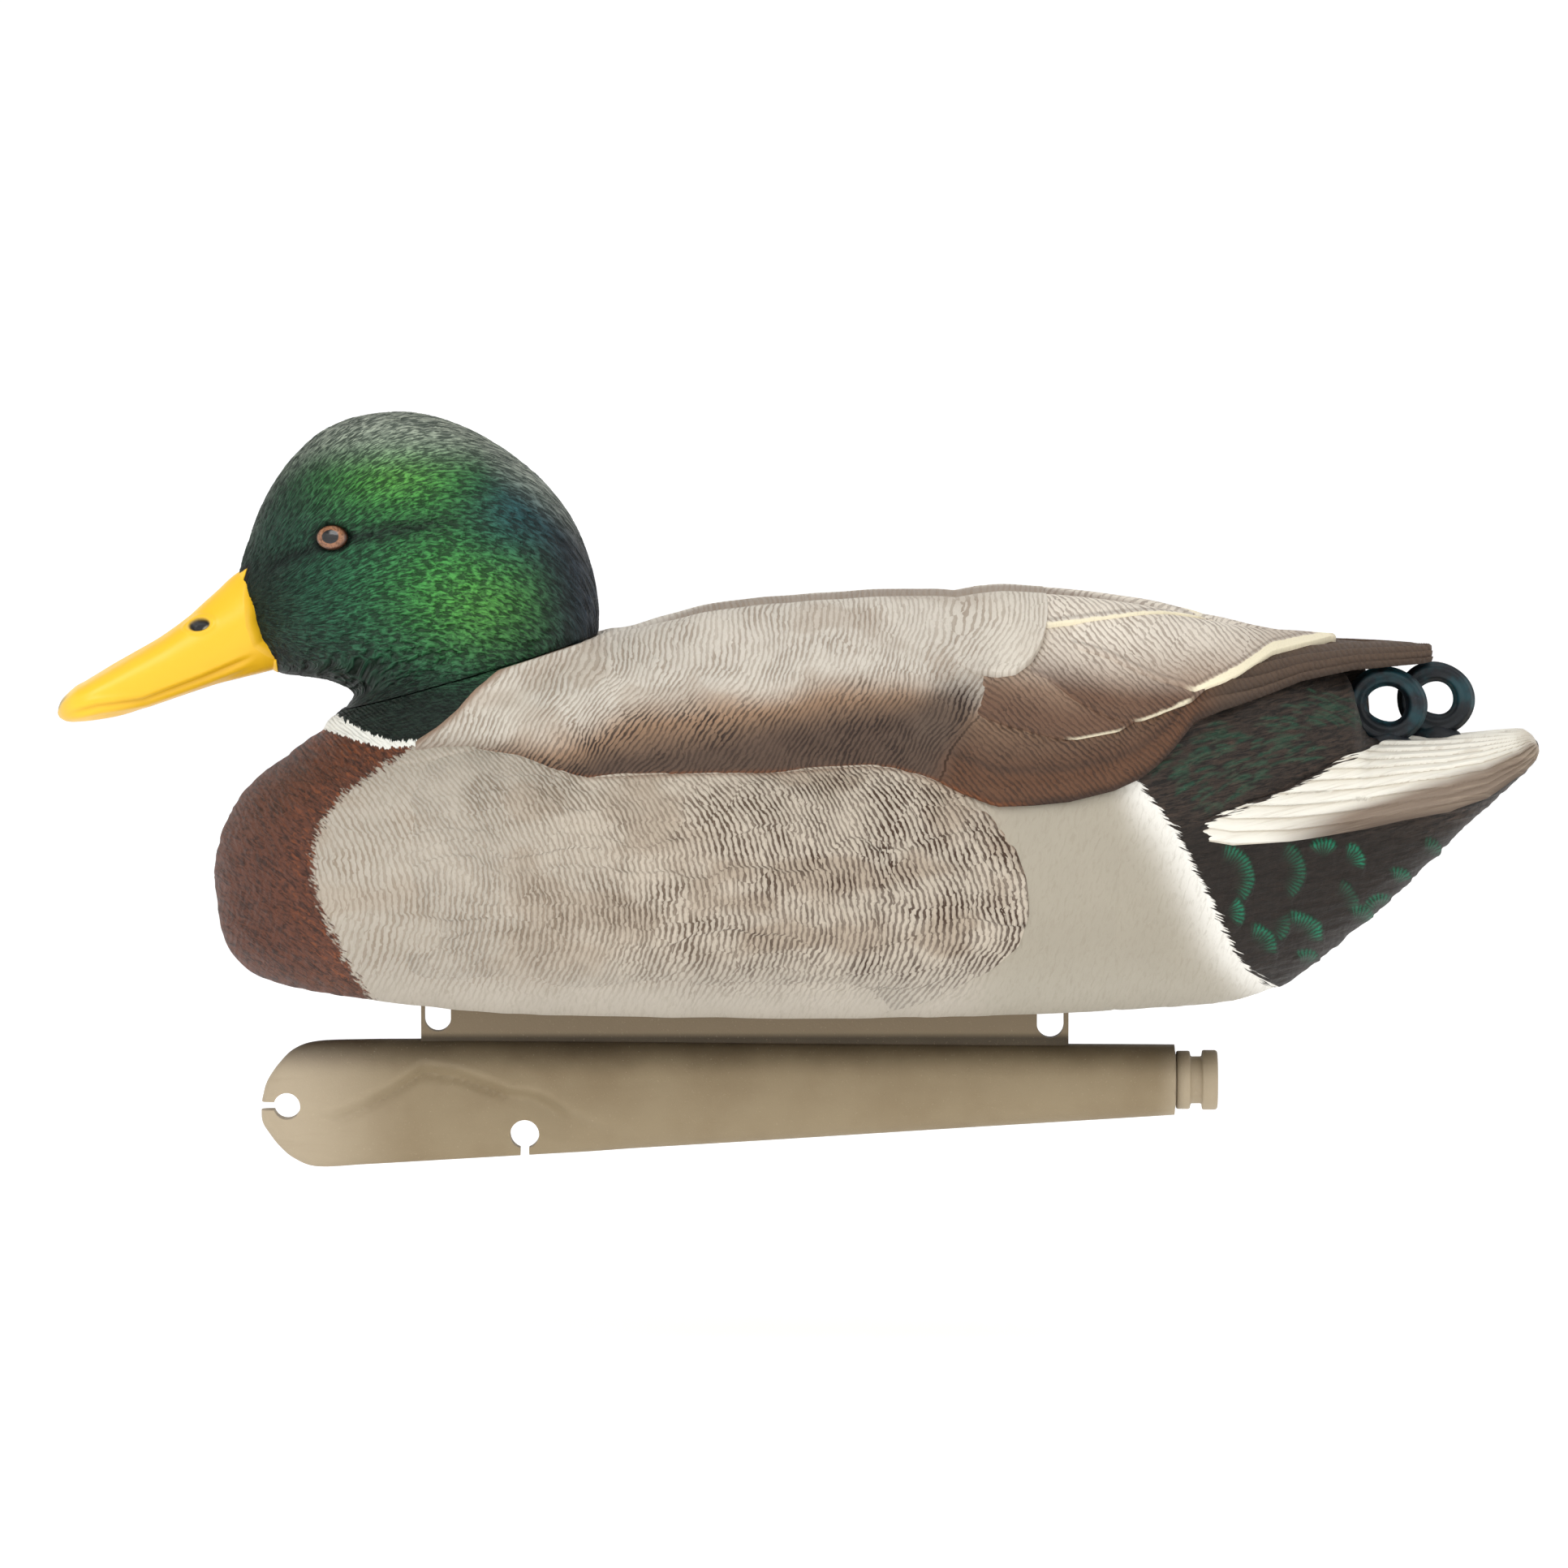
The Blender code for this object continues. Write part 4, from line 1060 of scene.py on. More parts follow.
# ------------------------------------------------------------------ hull skin
def build_skin():
    nu, nv = 330, 280
    p = np.linspace(0, 1, nu)
    n_d = len(DENSE) - 1
    idx = np.interp(p, [0, 0.10, 0.93, 1.0], [0, 150, n_d * 0.86, n_d])
    xs = np.interp(idx, np.arange(len(DENSE)), DENSE[:, 0])
    row = np.stack([np.interp(idx, np.arange(len(DENSE)), DENSE[:, k])
                    for k in range(5)], 1)
    a = np.linspace(-math.pi / 2, 1.5 * math.pi, nv, endpoint=False)
    c, s = np.cos(a)[None, :], np.sin(a)[None, :]
    half, wide = row[:, 3:4], row[:, 4:5]
    top, low = row[:, 1:2], row[:, 2:3]
    up = s >= 0
    y = np.where(up, half * np.abs(c) ** 0.92, half * np.abs(c) ** 0.80)
    z = np.where(up, wide + (top - wide) * np.abs(s) ** 0.92,
                 wide - (wide - low) * np.abs(s) ** 0.72)
    P = np.stack([np.broadcast_to(xs[:, None], y.shape), y * np.sign(c + 0 * y), z], -1)
    P = neck_blend(P)
    x, v, Q, col, amt, dd = base_paint(P)
    n = grid_normals(P, True)
    if ((P - P.mean((0, 1))) * n).sum(-1).mean() < 0:
        n = -n
    lump = (fbm(x / 13.0, v / 9.0, 11, 2) - 0.5)
    d_b = signed(Q, BREAST)
    al, ac = x * 0.82 - v * 0.57, x * 0.57 + v * 0.82
    flow = fbm(al / 5.5, ac / 2.2, 15, 2) - 0.5
    breast = smooth(1, -3, d_b) * (x < -60) * (P[..., 2] < 60)
    d = lump * 0.8 + breast * flow * 0.9
    seat_u, seat_y, seat_h = to_neck(P)
    rho = np.sqrt((seat_u / 36.2) ** 2 + (seat_y / 29) ** 2)
    d = d * (smooth(1.0, 1.15, rho) + (P[..., 2] < 40)).clip(0, 1)
    d = d - skin_sink(x, v) - 1.1 * smooth(93.5, 98, x)
    d = d - 3.4 * gauss(P[..., 1], 13) * smooth(60, 90, x) * (P[..., 2] > 60) * (x < 150)
    P = scoop(P + n * d[..., None])
    P = clear_head(P)
    ink = np.broadcast_to(flank_paint(x, v)[1], P.shape)
    at = skin_attrs(P, n, col, ink, amt, flank_field(x, v), amt * 1.1)
    V = P.reshape(-1, 3)
    tail = np.arange((nu - 1) * nv, nu * nv)
    faces = [tuple(f) for f in grid_faces(nu, nv, True).tolist()]
    k = len(V)
    V = np.vstack([V, V[tail].mean(0)])
    faces += [(int(p_), int(q_), k) for p_, q_ in zip(tail, np.roll(tail, -1))]
    for key in at:
        arr = np.asarray(at[key], float)
        at[key] = np.concatenate([arr, arr[tail].mean(0, keepdims=True)]) \
            if arr.ndim == 1 else np.vstack([arr, arr[tail].mean(0)])
    return finish_mesh("hull_skin", V, faces, at, MAT_SKIN, "hull",
                       ("body_shell",), merge=True)


# ------------------------------------------------------------ layered patches
ARCH_Y = line([(105, 66), (110, 63.5), (125, 54), (140, 41), (150, 33),
               (160, 24.5), (170, 17), (178, 11), (181.7, 7.5)])
ARCH_T = line([(105, 89.0), (110, 88.0), (125, 84.6), (140, 81.6), (150, 80.9),
               (165, 80.3), (176, 79.9), (181.7, 79.3)])


def wing_points(xs, t, v_lo, v_hi=None):
    """Points from the lower edge (t=0) to the upper edge (t=1)."""
    lo = angle_at(xs, v_lo)
    hi = np.full(len(xs), math.pi / 2) if v_hi is None else angle_at(xs, v_hi)
    hi = np.maximum(hi, lo + 0.004)
    a = lo[:, None] + (hi - lo)[:, None] * t[None, :]
    P = section(xs[:, None], a)
    # behind the hull's shoulder the folded tips run on as a thin arch
    ye = ARCH_Y(xs)[:, None]
    vb = WING_EDGE(xs)[:, None]
    ze = (vb + ye * SE) / CE
    zt = ARCH_T(xs)[:, None]
    zt = np.maximum(zt, ze + 1.5)
    vv = np.broadcast_to(np.asarray(v_lo), xs.shape)[:, None]
    frac = np.clip((vv - vb) / np.maximum(zt * CE - vb, 0.5), 0, 0.98)
    b0 = np.arcsin(frac ** (1 / 0.9))
    b = b0 + (math.pi / 2 - b0) * t[None, :]
    A = np.stack([np.broadcast_to(xs[:, None], b.shape),
                  ye * np.cos(b) ** 0.95, ze + (zt - ze) * np.sin(b) ** 0.9], -1)
    w = smooth(108, 128, xs)[:, None, None]
    return P * (1 - w) + A * w


def ridge(P):
    """Two scapular ridges with a valley between them."""
    x, y = P[..., 0], np.abs(P[..., 1])
    run = smooth(-52, -18, x) * (1 - smooth(100, 146, x))
    return run * (1.7 * gauss(y - 27, 12) - 2.6 * gauss(y, 9))


def solid_patch(name, P, N, off, under, attrs, side, mat, body="hull"):
    """Closed slab: fine outer grid, coarse inner grid below it."""
    nu, nv = P.shape[:2]
    top = P + N * off[..., None]
    # roll the rim so edges are not knife sharp
    rim = np.zeros((nu, nv))
    rim[0, :] = rim[-1, :] = 1
    rim[:, 0] = 1
    top = top - N * (rim * 0.22)[..., None]
    bot = P - N * (under + np.zeros((nu, nv)))[..., None]
    top, bot = clear_head(top), clear_head(bot)
    if side < 0:
        top, bot = top * [1, -1, 1], bot * [1, -1, 1]
    iu = np.unique(np.append(np.arange(0, nu, 5), nu - 1))
    iv = np.unique(np.append(np.arange(0, nv, 5), nv - 1))
    M = nu * nv
    mu, mv = len(iu), len(iv)
    V = np.concatenate([top.reshape(-1, 3), bot[iu][:, iv].reshape(-1, 3)])
    F = [tuple(f) for f in grid_faces(nu, nv).tolist()]
    F += [tuple(f) for f in grid_faces(mu, mv, base=M, flip=True).tolist()]
    for a in range(mu - 1):
        run = np.arange(iu[a], iu[a + 1] + 1)
        F.append(tuple(int(r * nv) for r in run) + (M + (a + 1) * mv, M + a * mv))
        F.append(tuple(int(r * nv + nv - 1) for r in run[::-1])
                 + (M + a * mv + mv - 1, M + (a + 1) * mv + mv - 1))
    for b in range(mv - 1):
        run = np.arange(iv[b], iv[b + 1] + 1)
        F.append(tuple(int(r) for r in run[::-1]) + (M + b, M + b + 1))
        F.append(tuple(int((nu - 1) * nv + r) for r in run)
                 + (M + (mu - 1) * mv + b + 1, M + (mu - 1) * mv + b))
    at = {}
    for k, val in attrs.items():
        val = np.asarray(val, float).reshape(nu, nv, -1)
        at[k] = np.concatenate([val.reshape(M, -1),
                                val[iu][:, iv].reshape(mu * mv, -1)]).squeeze()
    return finish_mesh(name, V, F, at, mat, body)


def both(build):
    for side, tag in ((-1, "left"), (1, "right")):
        build(side, tag)


def outward(P):
    n = grid_normals(P)
    flip = np.sign((n * (P - np.array([0, 0, 25.0])))[..., 1:].sum(-1).mean())
    return n * (flip if flip != 0 else 1)


# barbs run slantwise off each feather's shaft
def barb_phase(x, v, slope=-0.95):
    return (x * 0.72 - v * slope * 0.72
            + (fbm(x / 7, v / 7, 41, 2) - 0.5) * 1.5)


def build_wing(side, tag):
    """Mantle and folded wing, one shell from the neck lip to the tip."""
    xs = np.concatenate([np.linspace(-96.1, -47, 60, endpoint=False),
                         np.linspace(-47, 181.6, 360)])
    t = np.linspace(0, 1, 160)
    v_lo = WING_EDGE(xs)
    hi = np.where(xs < -47.2, LIP(xs), 200.0)
    hi = np.maximum(hi, v_lo + 0.6)
    P = wing_points(xs, t, v_lo, hi)
    N = outward(P)
    x, v = P[..., 0], side_v(P)
    up = v - v_lo[:, None]
    off = wing_off(x, up) + ridge(P)
    fade = smooth(-96, -84, x)
    lipd = LIP(np.minimum(xs, -47.3))[:, None] - v
    off = off * fade + 0.9 * (x < -47) * smooth(7, 0.5, lipd)
    off = off + (feather_mottle(x, v, 51) - 0.5) * 0.9 * smooth(2, 8, up) * (x < 118)
    slab = smooth(112, 124, x)
    across = up / np.maximum(84 - v_lo[:, None], 4)
    saw = np.mod(across * 6.5, 1.0)
    off = off + slab * (0.8 * (saw - 0.5)) * smooth(112, 132, x)
    band = smooth(52, 70, x) * (1 - smooth(108, 120, x))
    off = off + band * 0.45 * (np.mod(up / 5.2 - (x - 60) * 0.006, 1.0) - 0.5)
    under = 1.6 + 1.4 * smooth(130, 160, x) + 0.8 * smooth(150, 162, x)
    # ---- colours
    c1, i1, a1 = mantle_paint(x, v, up)
    c2, i2, a2 = remex_paint(x, v, up)
    seam = x - 0.80 * (v - 58.0) - 3.0 * smooth(50, 42, v)
    w = smooth(50, 60, seam)
    col, ink, amt = mixc(c1, c2, w), mixc(i1, i2, w), a1 * (1 - w) + a2 * w
    amt = amt * (1 - 0.95 * gauss(seam - 55.0, 1.6))
    # the slab's brown with painted shade: darker at the foot of each stepped feather, lighter at its crest
    slab_step_shade = srgb(88, 71, 58) * (0.70 + 0.42 * saw[..., None])
    col = mixc(col, slab_step_shade, slab)
    # painted shade along the lower rim of the rear wing, where it stands over the rump
    col = mixc(col, srgb(48, 38, 32), smooth(3.0, 0.2, up) * smooth(52, 60, x) * 0.5)
    col = mixc(col, srgb(148, 134, 120), back_band(x, v) * 0.84)
    rust = gauss(up - 0.4, 0.7) * smooth(-90, -70, x) * (1 - smooth(60, 75, x))
    col = mixc(col, srgb(140, 84, 48), rust * 0.6)
    lip = smooth(2.4, 0.2, lipd) * (x < -47)
    col = mixc(col, srgb(136, 104, 80), lip * 0.85)
    phase = np.where(seam > 55.0, barb_phase(x, v) / 1.35, mantle_field(x, v) / 1.4)
    amt = amt * (1 - slab * 0.6)
    at = attributes(x, v, col, ink, amt, phase, 1.0, 0.9 * amt + 0.2)
    solid_patch("wing_" + tag, P, N, off, under, at, side, MAT_HULL)


def build_flank(side, tag):
    """Side pocket that laps over the wing's lower edge."""
    xs = np.linspace(-112, 69.6, 390)
    rear = FLANK_REAR
    top = np.where(xs < 52, WING_EDGE(np.maximum(xs, -96.1)) + 0.2,
                   np.interp(xs, rear[:5, 0], rear[:5, 1]))
    top = np.where(xs < -96.1, 50.1 - (-96.1 - xs) * 0.62, top)
    low = np.where(xs > 29, np.interp(xs, rear[::-1][:5, 0], rear[::-1][:5, 1]), -21.0)
    low = np.minimum(low, top - 0.5)
    t = np.linspace(0, 1, 175)
    P = wing_points(xs, t, low, top)
    N = outward(P)
    x, v = P[..., 0], side_v(P)
    down = top[:, None] - v
    Q = np.stack([x, v], -1)
    d_rear = np.abs(signed(Q, rear))
    off = -0.5 + 2.3 * smooth(-112, -60, x) * (0.35 + 0.65 * smooth(0, 7, down))
    off = off * (1 - smooth(34, 62, down) * 0.75)
    off = off * np.where(x > 0, 0.30 + 0.70 * smooth(0, 11, d_rear), 1)
    off = off + (fbm(x / 14.0, v / 9.0, 71, 2) - 0.5) * 1.0 * smooth(-100, -80, x) * smooth(0, 4, down)
    melt = smooth(-8, -20, v) * (1 - smooth(20, 40, x))
    off = off * (1 - melt) - 0.9 * melt
    col, ink, amt = flank_paint(x, v)
    col = mixc(col, srgb(120, 84, 60), smooth(1.2, 0.1, down) * smooth(-60, -45, x) * 0.5)
    amt = amt * (1 + 0.35 * gauss(d_rear, 9) * (x > 20))
    crease = fbm(x / 9.0, (v + x * 0.4) / 5.0, 85, 2)
    off = off + gauss(crease - 0.5, 0.02) * 0.18 * smooth(-90, -60, x)
    at = attributes(x, v, col, ink, np.clip(amt, 0, 1), flank_field(x, v), 1.62,
                    0.5 + 0.9 * np.clip(amt, 0, 1))
    solid_patch("flank_" + tag, P, N, off, 1.2, at, side, MAT_HULL)


FEATHERS = [
    # name, base offset, lower edge (x, v), colour, ink, cream from..to x
    ("covert_feather", 0.55, [(48, 62), (65, 56), (76, 53), (82, 52.4),
                              (93.6, 54.6), (101, 59)], "rust", "wing_ink", (80, 95)),
    ("tertial_third", 1.05, [(60, 74), (74.6, 68.8), (82, 63), (89.6, 59),
                             (94.5, 56.8), (100.1, 57.4), (113.5, 61.9),
                             (118, 66)], "rust", "wing_ink", (98, 114)),
    ("tertial_second", 1.6, [(70, 80.5), (91.2, 74), (99.7, 70), (114.2, 63.9),
                             (122.3, 67.9), (129.4, 73.1), (136.3, 77.1),
                             (146, 79.2), (155.1, 80.6)], "tertial", "tertial_ink",
     (113, 156)),
    ("tertial_first", 2.1, [(58, 81.0), (74.4, 81.8), (96.1, 83.4),
                            (110, 84.6), (121, 85.2)], "tertial", "tertial_ink",
     (74, 119)),
    ("scapular", 2.5, [(42, 78.5), (48, 74.5), (54.5, 70.6), (61.0, 69.2),
                       (66.0, 69.8), (70.5, 73.0), (73.6, 78.0),
                       (75.2, 84)], "mantle", "mantle_ink", (60, 74)),
]


def build_feather(k):
    name, lift, edge, colour, ink, cream = FEATHERS[k]

    def build(side, tag):
        e = np.array(edge, float)
        xs = np.linspace(e[0, 0], e[-1, 0], 250)
        v_lo = np.interp(xs, e[:, 0], e[:, 1])
        ker = np.hanning(11)
        ker /= ker.sum()
        v_lo = np.convolve(np.pad(v_lo, 5, mode="edge"), ker, "valid")
        if name == "scapular":
            v_lo = np.maximum(v_lo, WING_EDGE(xs) + 0.4)
        t = np.linspace(0, 1, 130 if name == "scapular" else 90)
        P = wing_points(xs, t, v_lo)
        N = outward(P)
        x, v = P[..., 0], side_v(P)
        up = v - v_lo[:, None]
        full = v - WING_EDGE(x)
        rise = smooth(e[0, 0], e[0, 0] + (24 if name == "scapular" else 18), x)
        wing = wing_off(x, full)
        off = wing + lift * rise - 1.5 * (1 - rise) ** 2 + ridge(P)
        off = off + 0.18 * gauss(up - 1.2, 1.5)
        mott = feather_mottle(x, v, 61 + k)
        if name == "scapular":
            off = off + (feather_mottle(x, v, 51) - 0.5) * 0.9
            # two rounded feather tips stand in the rear of the patch
            for cx, cv, r in ((50, 70, 11.0), (56, 79, 11.0)):
                rr = np.hypot(x - cx, (v - cv) * 1.15)
                off = off + 0.28 * smooth(r - 5, r, rr) * smooth(r + 0.8, r, rr) * (x > cx)
            col, inkc, amt = mantle_paint(x, v, full)
            tip = smooth(54, 64, x)
            col = mixc(col, srgb(218, 210, 196), tip * 0.7)
            amt = amt * (1 - tip * 0.25)
            phase, per = mantle_field(x, v), 1.4
        else:
            inkc = np.broadcast_to(C[ink], P.shape)
            amt = 0.58 * np.ones_like(x)
            phase, per = barb_phase(x, v), 1.35
            if colour == "tertial":
                col = srgb(230, 220, 205) * (0.94 + 0.10 * mott)[..., None]
                if name == "tertial_second":
                    col = mixc(col, srgb(142, 114, 92), smooth(81, 63, v) * 0.85)
                    col = mixc(col, srgb(138, 110, 90), smooth(98, 74, x) * smooth(79, 71, v) * 0.9)
                    col = mixc(col, srgb(170, 152, 134), smooth(120, 142, x) * 0.6)
                inkc = np.broadcast_to(srgb(118, 98, 82), P.shape)
            else:
                col = srgb(112, 84, 66) * (0.90 + 0.2 * mott)[..., None]
                col = mixc(col, srgb(160, 134, 112), smooth(4, 16, up) * 0.7)
                inkc = np.broadcast_to(srgb(60, 44, 36), P.shape)
                pale = smooth(64, 79, v + 0.10 * (x - 80))
                col = mixc(col, srgb(222, 211, 196) * (0.94 + 0.10 * mott)[..., None], pale)
                inkc = mixc(inkc, srgb(118, 98, 82), pale)
        wide = {"tertial_second": 0.95, "tertial_first": 0.55,
                "tertial_third": 0.6, "covert_feather": 0.45}.get(name, 0.0)
        if wide:
            wob = (noise2(x * 0.9, v * 0.9, 91) - 0.5) * 0.25
            rim = smooth(wide, wide * 0.55, up + wob)
            rim = rim * smooth(cream[0] - 2, cream[0] + 3, x) * \
                (1 - smooth(cream[1] - 3, cream[1] + 1, x))
            col = mixc(col, srgb(242, 232, 202), rim * 0.95)
            amt = amt * (1 - rim)
            col = mixc(col, srgb(60, 46, 38), gauss(up - wide - 0.5, 0.4) * 0.35 * (rim < 0.2))
        col = mixc(col, srgb(148, 134, 120), back_band(x, v) * 0.84)
        at = attributes(x, v, col, inkc, amt, phase, per, 0.8 * amt)
        solid_patch(name + "_" + tag, P, N, off, -(wing - 2.2), at, side, MAT_HULL)
    return build


def build_tail(side, tag):
    """White tail feathers: long overlapping blades from the rump to the end."""
    up = line([(112.5, 29.2), (120.5, 33.1), (130.1, 36.4), (139, 39.8),
               (147.7, 44), (154.7, 48.1), (161.6, 50.1), (166.3, 51.0),
               (177.9, 51.6), (192.9, 52.6), (X1, 53.0)])
    lo = line([(112.5, 28.2), (116, 26.0), (124.5, 24.6), (139.7, 25.6),
               (150.6, 27.4), (160.2, 29.0), (171, 31.2), (184, 33.8),
               (194, 38.0), (204, 45.0), (X1, 51.0)])
    xs = np.linspace(112.5, X1 - 0.9, 280)
    t = np.linspace(0, 1, 190)
    lo_v = np.minimum(lo(xs), up(xs) - 0.4)
    wrap = smooth(166, 177, xs)
    la, ha = angle_at(xs, lo_v), angle_at(xs, up(xs))
    ha = ha + (math.pi / 2 - ha) * wrap
    a = la[:, None] + (np.maximum(ha, la + 0.01) - la)[:, None] * t[None, :]
    P = section(xs[:, None], a)
    N = outward(P)
    x, v = P[..., 0], side_v(P)
    full = (a - la[:, None]) / (math.pi / 2 - la[:, None])
    side_w = (v - lo_v[:, None]) / np.maximum(53.0 - lo_v[:, None], 2.0)
    q = (0.75 * side_w + 0.25 * full) * 10.5
    saw = np.mod(q + 0.12 * np.sin(x / 11.0), 1.0)
    grow = smooth(112, 135, x)
    off = 0.55 + grow * (0.75 + 1.0 * (1 - saw) * smooth(0.0, 0.12, saw))
    ragged = (noise2(x / 3.0, v * 1.2, 95) - 0.5)
    off = off * smooth(112.5, 118, x + ragged * 5)
    off = np.minimum(off, 0.25 + (X1 - x) * 0.6)
    col = np.broadcast_to(srgb(238, 234, 222), x.shape + (3,)).copy()
    # painted shade: each blade greyer down its slope and greyest at its foot, under the next blade's edge
    col = mixc(col, srgb(176, 162, 144), smooth(0.80, 1.0, saw) * 0.8)
    col = mixc(col, srgb(214, 206, 190), smooth(0.35, 0.8, saw) * 0.35)
    # painted shade: the underside edge of the blades turns grey brown, darkest at the lowest edge
    reach = 0.20 + 0.30 * smooth(140, 200, x)
    shade = smooth(reach + 0.08, reach - 0.10, side_w) * smooth(130, 158, x)
    col = mixc(col, srgb(126, 108, 92), shade * 0.95)
    col = mixc(col, srgb(78, 64, 54), smooth(0.12, 0.0, side_w) * smooth(130, 158, x) * 0.8)
    # painted shade where the tail's end rounds off
    col = mixc(col, srgb(180, 166, 148), smooth(X1 - 9, X1 - 1, x) * 0.6)
    inkc = np.broadcast_to(srgb(176, 160, 140), col.shape)
    phase = v
    at = attributes(x, v, col, inkc, 0.3, phase, 1.1, 0.25)
    d_up = (up(xs)[:, None] - v) + 40 * smooth(158, 166, x)
    at["d_up"] = d_up.ravel()
    at["saw"] = saw.ravel()
    solid_patch("tail_feathers_" + tag, P, N, off, 0.8, at, side, MAT_TAIL)


skin = build_skin()
build_collar(skin)
both(build_rump)
both(build_flank)
both(build_wing)
for k in range(len(FEATHERS)):
    both(build_feather(k))
both(build_tail)


# ----------------------------------------------------------------------- head
HEAD = np.array([
    (0.08, -36.0, 36.3, 28.8, 0.00),
    (1.6,  -33.6, 36.9, 28.2, 0.00),
    (3.4,  -32.6, 37.5, 27.7, 0.00),
    (6.2,  -34.8, 38.3, 27.2, 0.05),
    (9.6,  -39.6, 39.0, 27.0, 0.14),
    (12.4, -46.0, 39.4, 27.0, 0.26),
    (15.5, -51.6, 39.7, 27.0, 0.34),
    (22.0, -55.0, 39.7, 26.8, 0.38),
    (30.0, -56.2, 38.9, 26.4, 0.38),
    (38.0, -56.0, 36.6, 25.8, 0.36),
    (46.0, -52.2, 32.9, 24.8, 0.32),
    (53.0, -47.4, 28.2, 23.2, 0.26),
    (59.0, -42.9, 23.2, 20.8, 0.20),
    (64.3, -37.8, 17.8, 17.6, 0.14),
    (69.4, -31.4, 10.9, 13.0, 0.08),
    (73.0, -25.0, 3.8, 8.4, 0.02),
    (75.0, -19.4, -3.6, 4.4, 0.00),
    (75.9, -12.6, -11.4, 0.4, 0.00),
])
EYE = np.array([-119.8, 0.0, 110.2])


def build_head():
    D = catmull(HEAD, 40)
    nu, nv = 240, 390
    idx = np.interp(np.linspace(0, 1, nu), [0, 0.08, 0.93, 1.0],
                    [0, 90, 600, len(D) - 1])
    R = np.stack([np.interp(idx, np.arange(len(D)), D[:, k]) for k in range(5)], 1)
    a = np.linspace(0, 2 * math.pi, nv, endpoint=False)
    c, s = np.cos(a)[None, :], np.sin(a)[None, :]
    f, r = R[:, 1:2], R[:, 2:3]
    mid, rad = (f + r) / 2, (r - f) / 2
    u = mid + rad * c
    y = R[:, 3:4] * s * np.where(c < 0, 1 - R[:, 4:5] * c * c, 1)
    h = np.broadcast_to(R[:, 0:1], u.shape)
    P = from_neck(u, y, h)
    n = grid_normals(P, True)
    cen = P.mean((0, 1))
    if ((P - cen) * n).sum(-1).mean() < 0:
        n = -n
    x, z, v = P[..., 0], P[..., 2], side_v(P)
    col, de, run, sidew = head_paint(P, n)
    d = -0.9 * gauss(de, 1.8) * run * sidew
    d = d + 0.7 * gauss(de - 6.5, 4.5) * run * sidew
    d = d + 1.2 * gauss(x + 95, 26) * gauss(z - 92, 16) * sidew
    r_eye = np.hypot(x - EYE[0], (z - EYE[2]) / 0.78)
    d = d - 1.1 * smooth(6.2, 3.6, r_eye) * sidew + 0.5 * gauss(r_eye - 6.0, 1.1) * sidew
    q1, q2, worm = head_flow(x, z, P[..., 1])
    Q = np.stack([x, v], -1)
    d_bill = poly_distance(Q, BILL_OUTLINE)
    d_bill = np.where(np.abs(P[..., 1]) < 1.5, np.minimum(d_bill, -0.5), d_bill)
    calm = smooth(0.1, 0.7, h) * smooth(4.5, 7.5, r_eye + (1 - sidew) * 20)
    calm = calm * smooth(0.6, -0.8, d_bill)
    # the gape pit behind the bill's corner
    pit = gauss(np.hypot(x + 135.2, z - 77.9), 1.3) * sidew
    d = d + worm * 0.26 * calm - 1.2 * pit
    d = d * smooth(0.12, 1.2, h)
    d = d + 0.38 * smooth(-0.35, 0.35, d_bill)
    P = P + n * d[..., None]
    # painted shade: near black in the gape pit
    col = mixc(col, srgb(12, 14, 14), gauss(np.hypot(x + 135.2, z - 77.9), 1.9) * 0.95 * sidew)
    # painted shade: a thin dark ring where the eye meets its socket
    col = mixc(col, srgb(12, 15, 14), gauss(r_eye - 4.7, 0.55) * sidew * 0.75)
    b0 = np.arange(nv)
    b1 = (nu - 1) * nv + b0
    V = P.reshape(-1, 3)
    V = np.vstack([V, V[:nv].mean(0), V[-nv:].mean(0)])
    k = len(V)
    faces = [tuple(q) for q in grid_faces(nu, nv, True).tolist()]
    faces += [(int(p), int(q), k - 2) for p, q in zip(b0, np.roll(b0, -1))]
    faces += [(int(p), int(q), k - 1) for p, q in zip(b1, np.roll(b1, -1))]
    at = {"headc": np.clip(col, 0, 1).reshape(-1, 3), "flow1": q1.ravel(),
          "flow2": q2.ravel(), "worm": (worm * calm).ravel(), "d_bill": d_bill.ravel()}
    for key in at:
        arr = at[key]
        at[key] = np.concatenate([arr, [arr[b0].mean(), arr[b1].mean()]]) if arr.ndim == 1 \
            else np.vstack([arr, arr[b0].mean(0), arr[b1].mean(0)])
    m = Nodes("painted_head")
    base, hgt, hair = head_layers(m, m.colour("headc"))
    # a black line follows the bill's crisp edge
    db = m.attr("d_bill")
    edge = m.math("MULTIPLY", m.band(db, -1.5, -0.5), m.band(db, 0.12, -0.10))
    base = m.mix(base, rgba(srgb(10, 11, 11)), m.math("MULTIPLY", edge, 0.9))
    inside = m.band(db, -0.12, 0.12)
    colr = m.mix(base, rgba(srgb(245, 193, 32)), inside)
    nrm = m.bump(m.math("MULTIPLY", hgt, m.math("SUBTRACT", 1.0, inside)), 0.9, 0.0006)
    rough = m.span(inside, 0, 1, 0.52, 0.38)
    finish_mesh("head_skin", V, faces, at, m.done(colr, rough, nrm, spec=0.3),
                "head", ("head_shell",))
    return P, n


head_P, head_N = build_head()


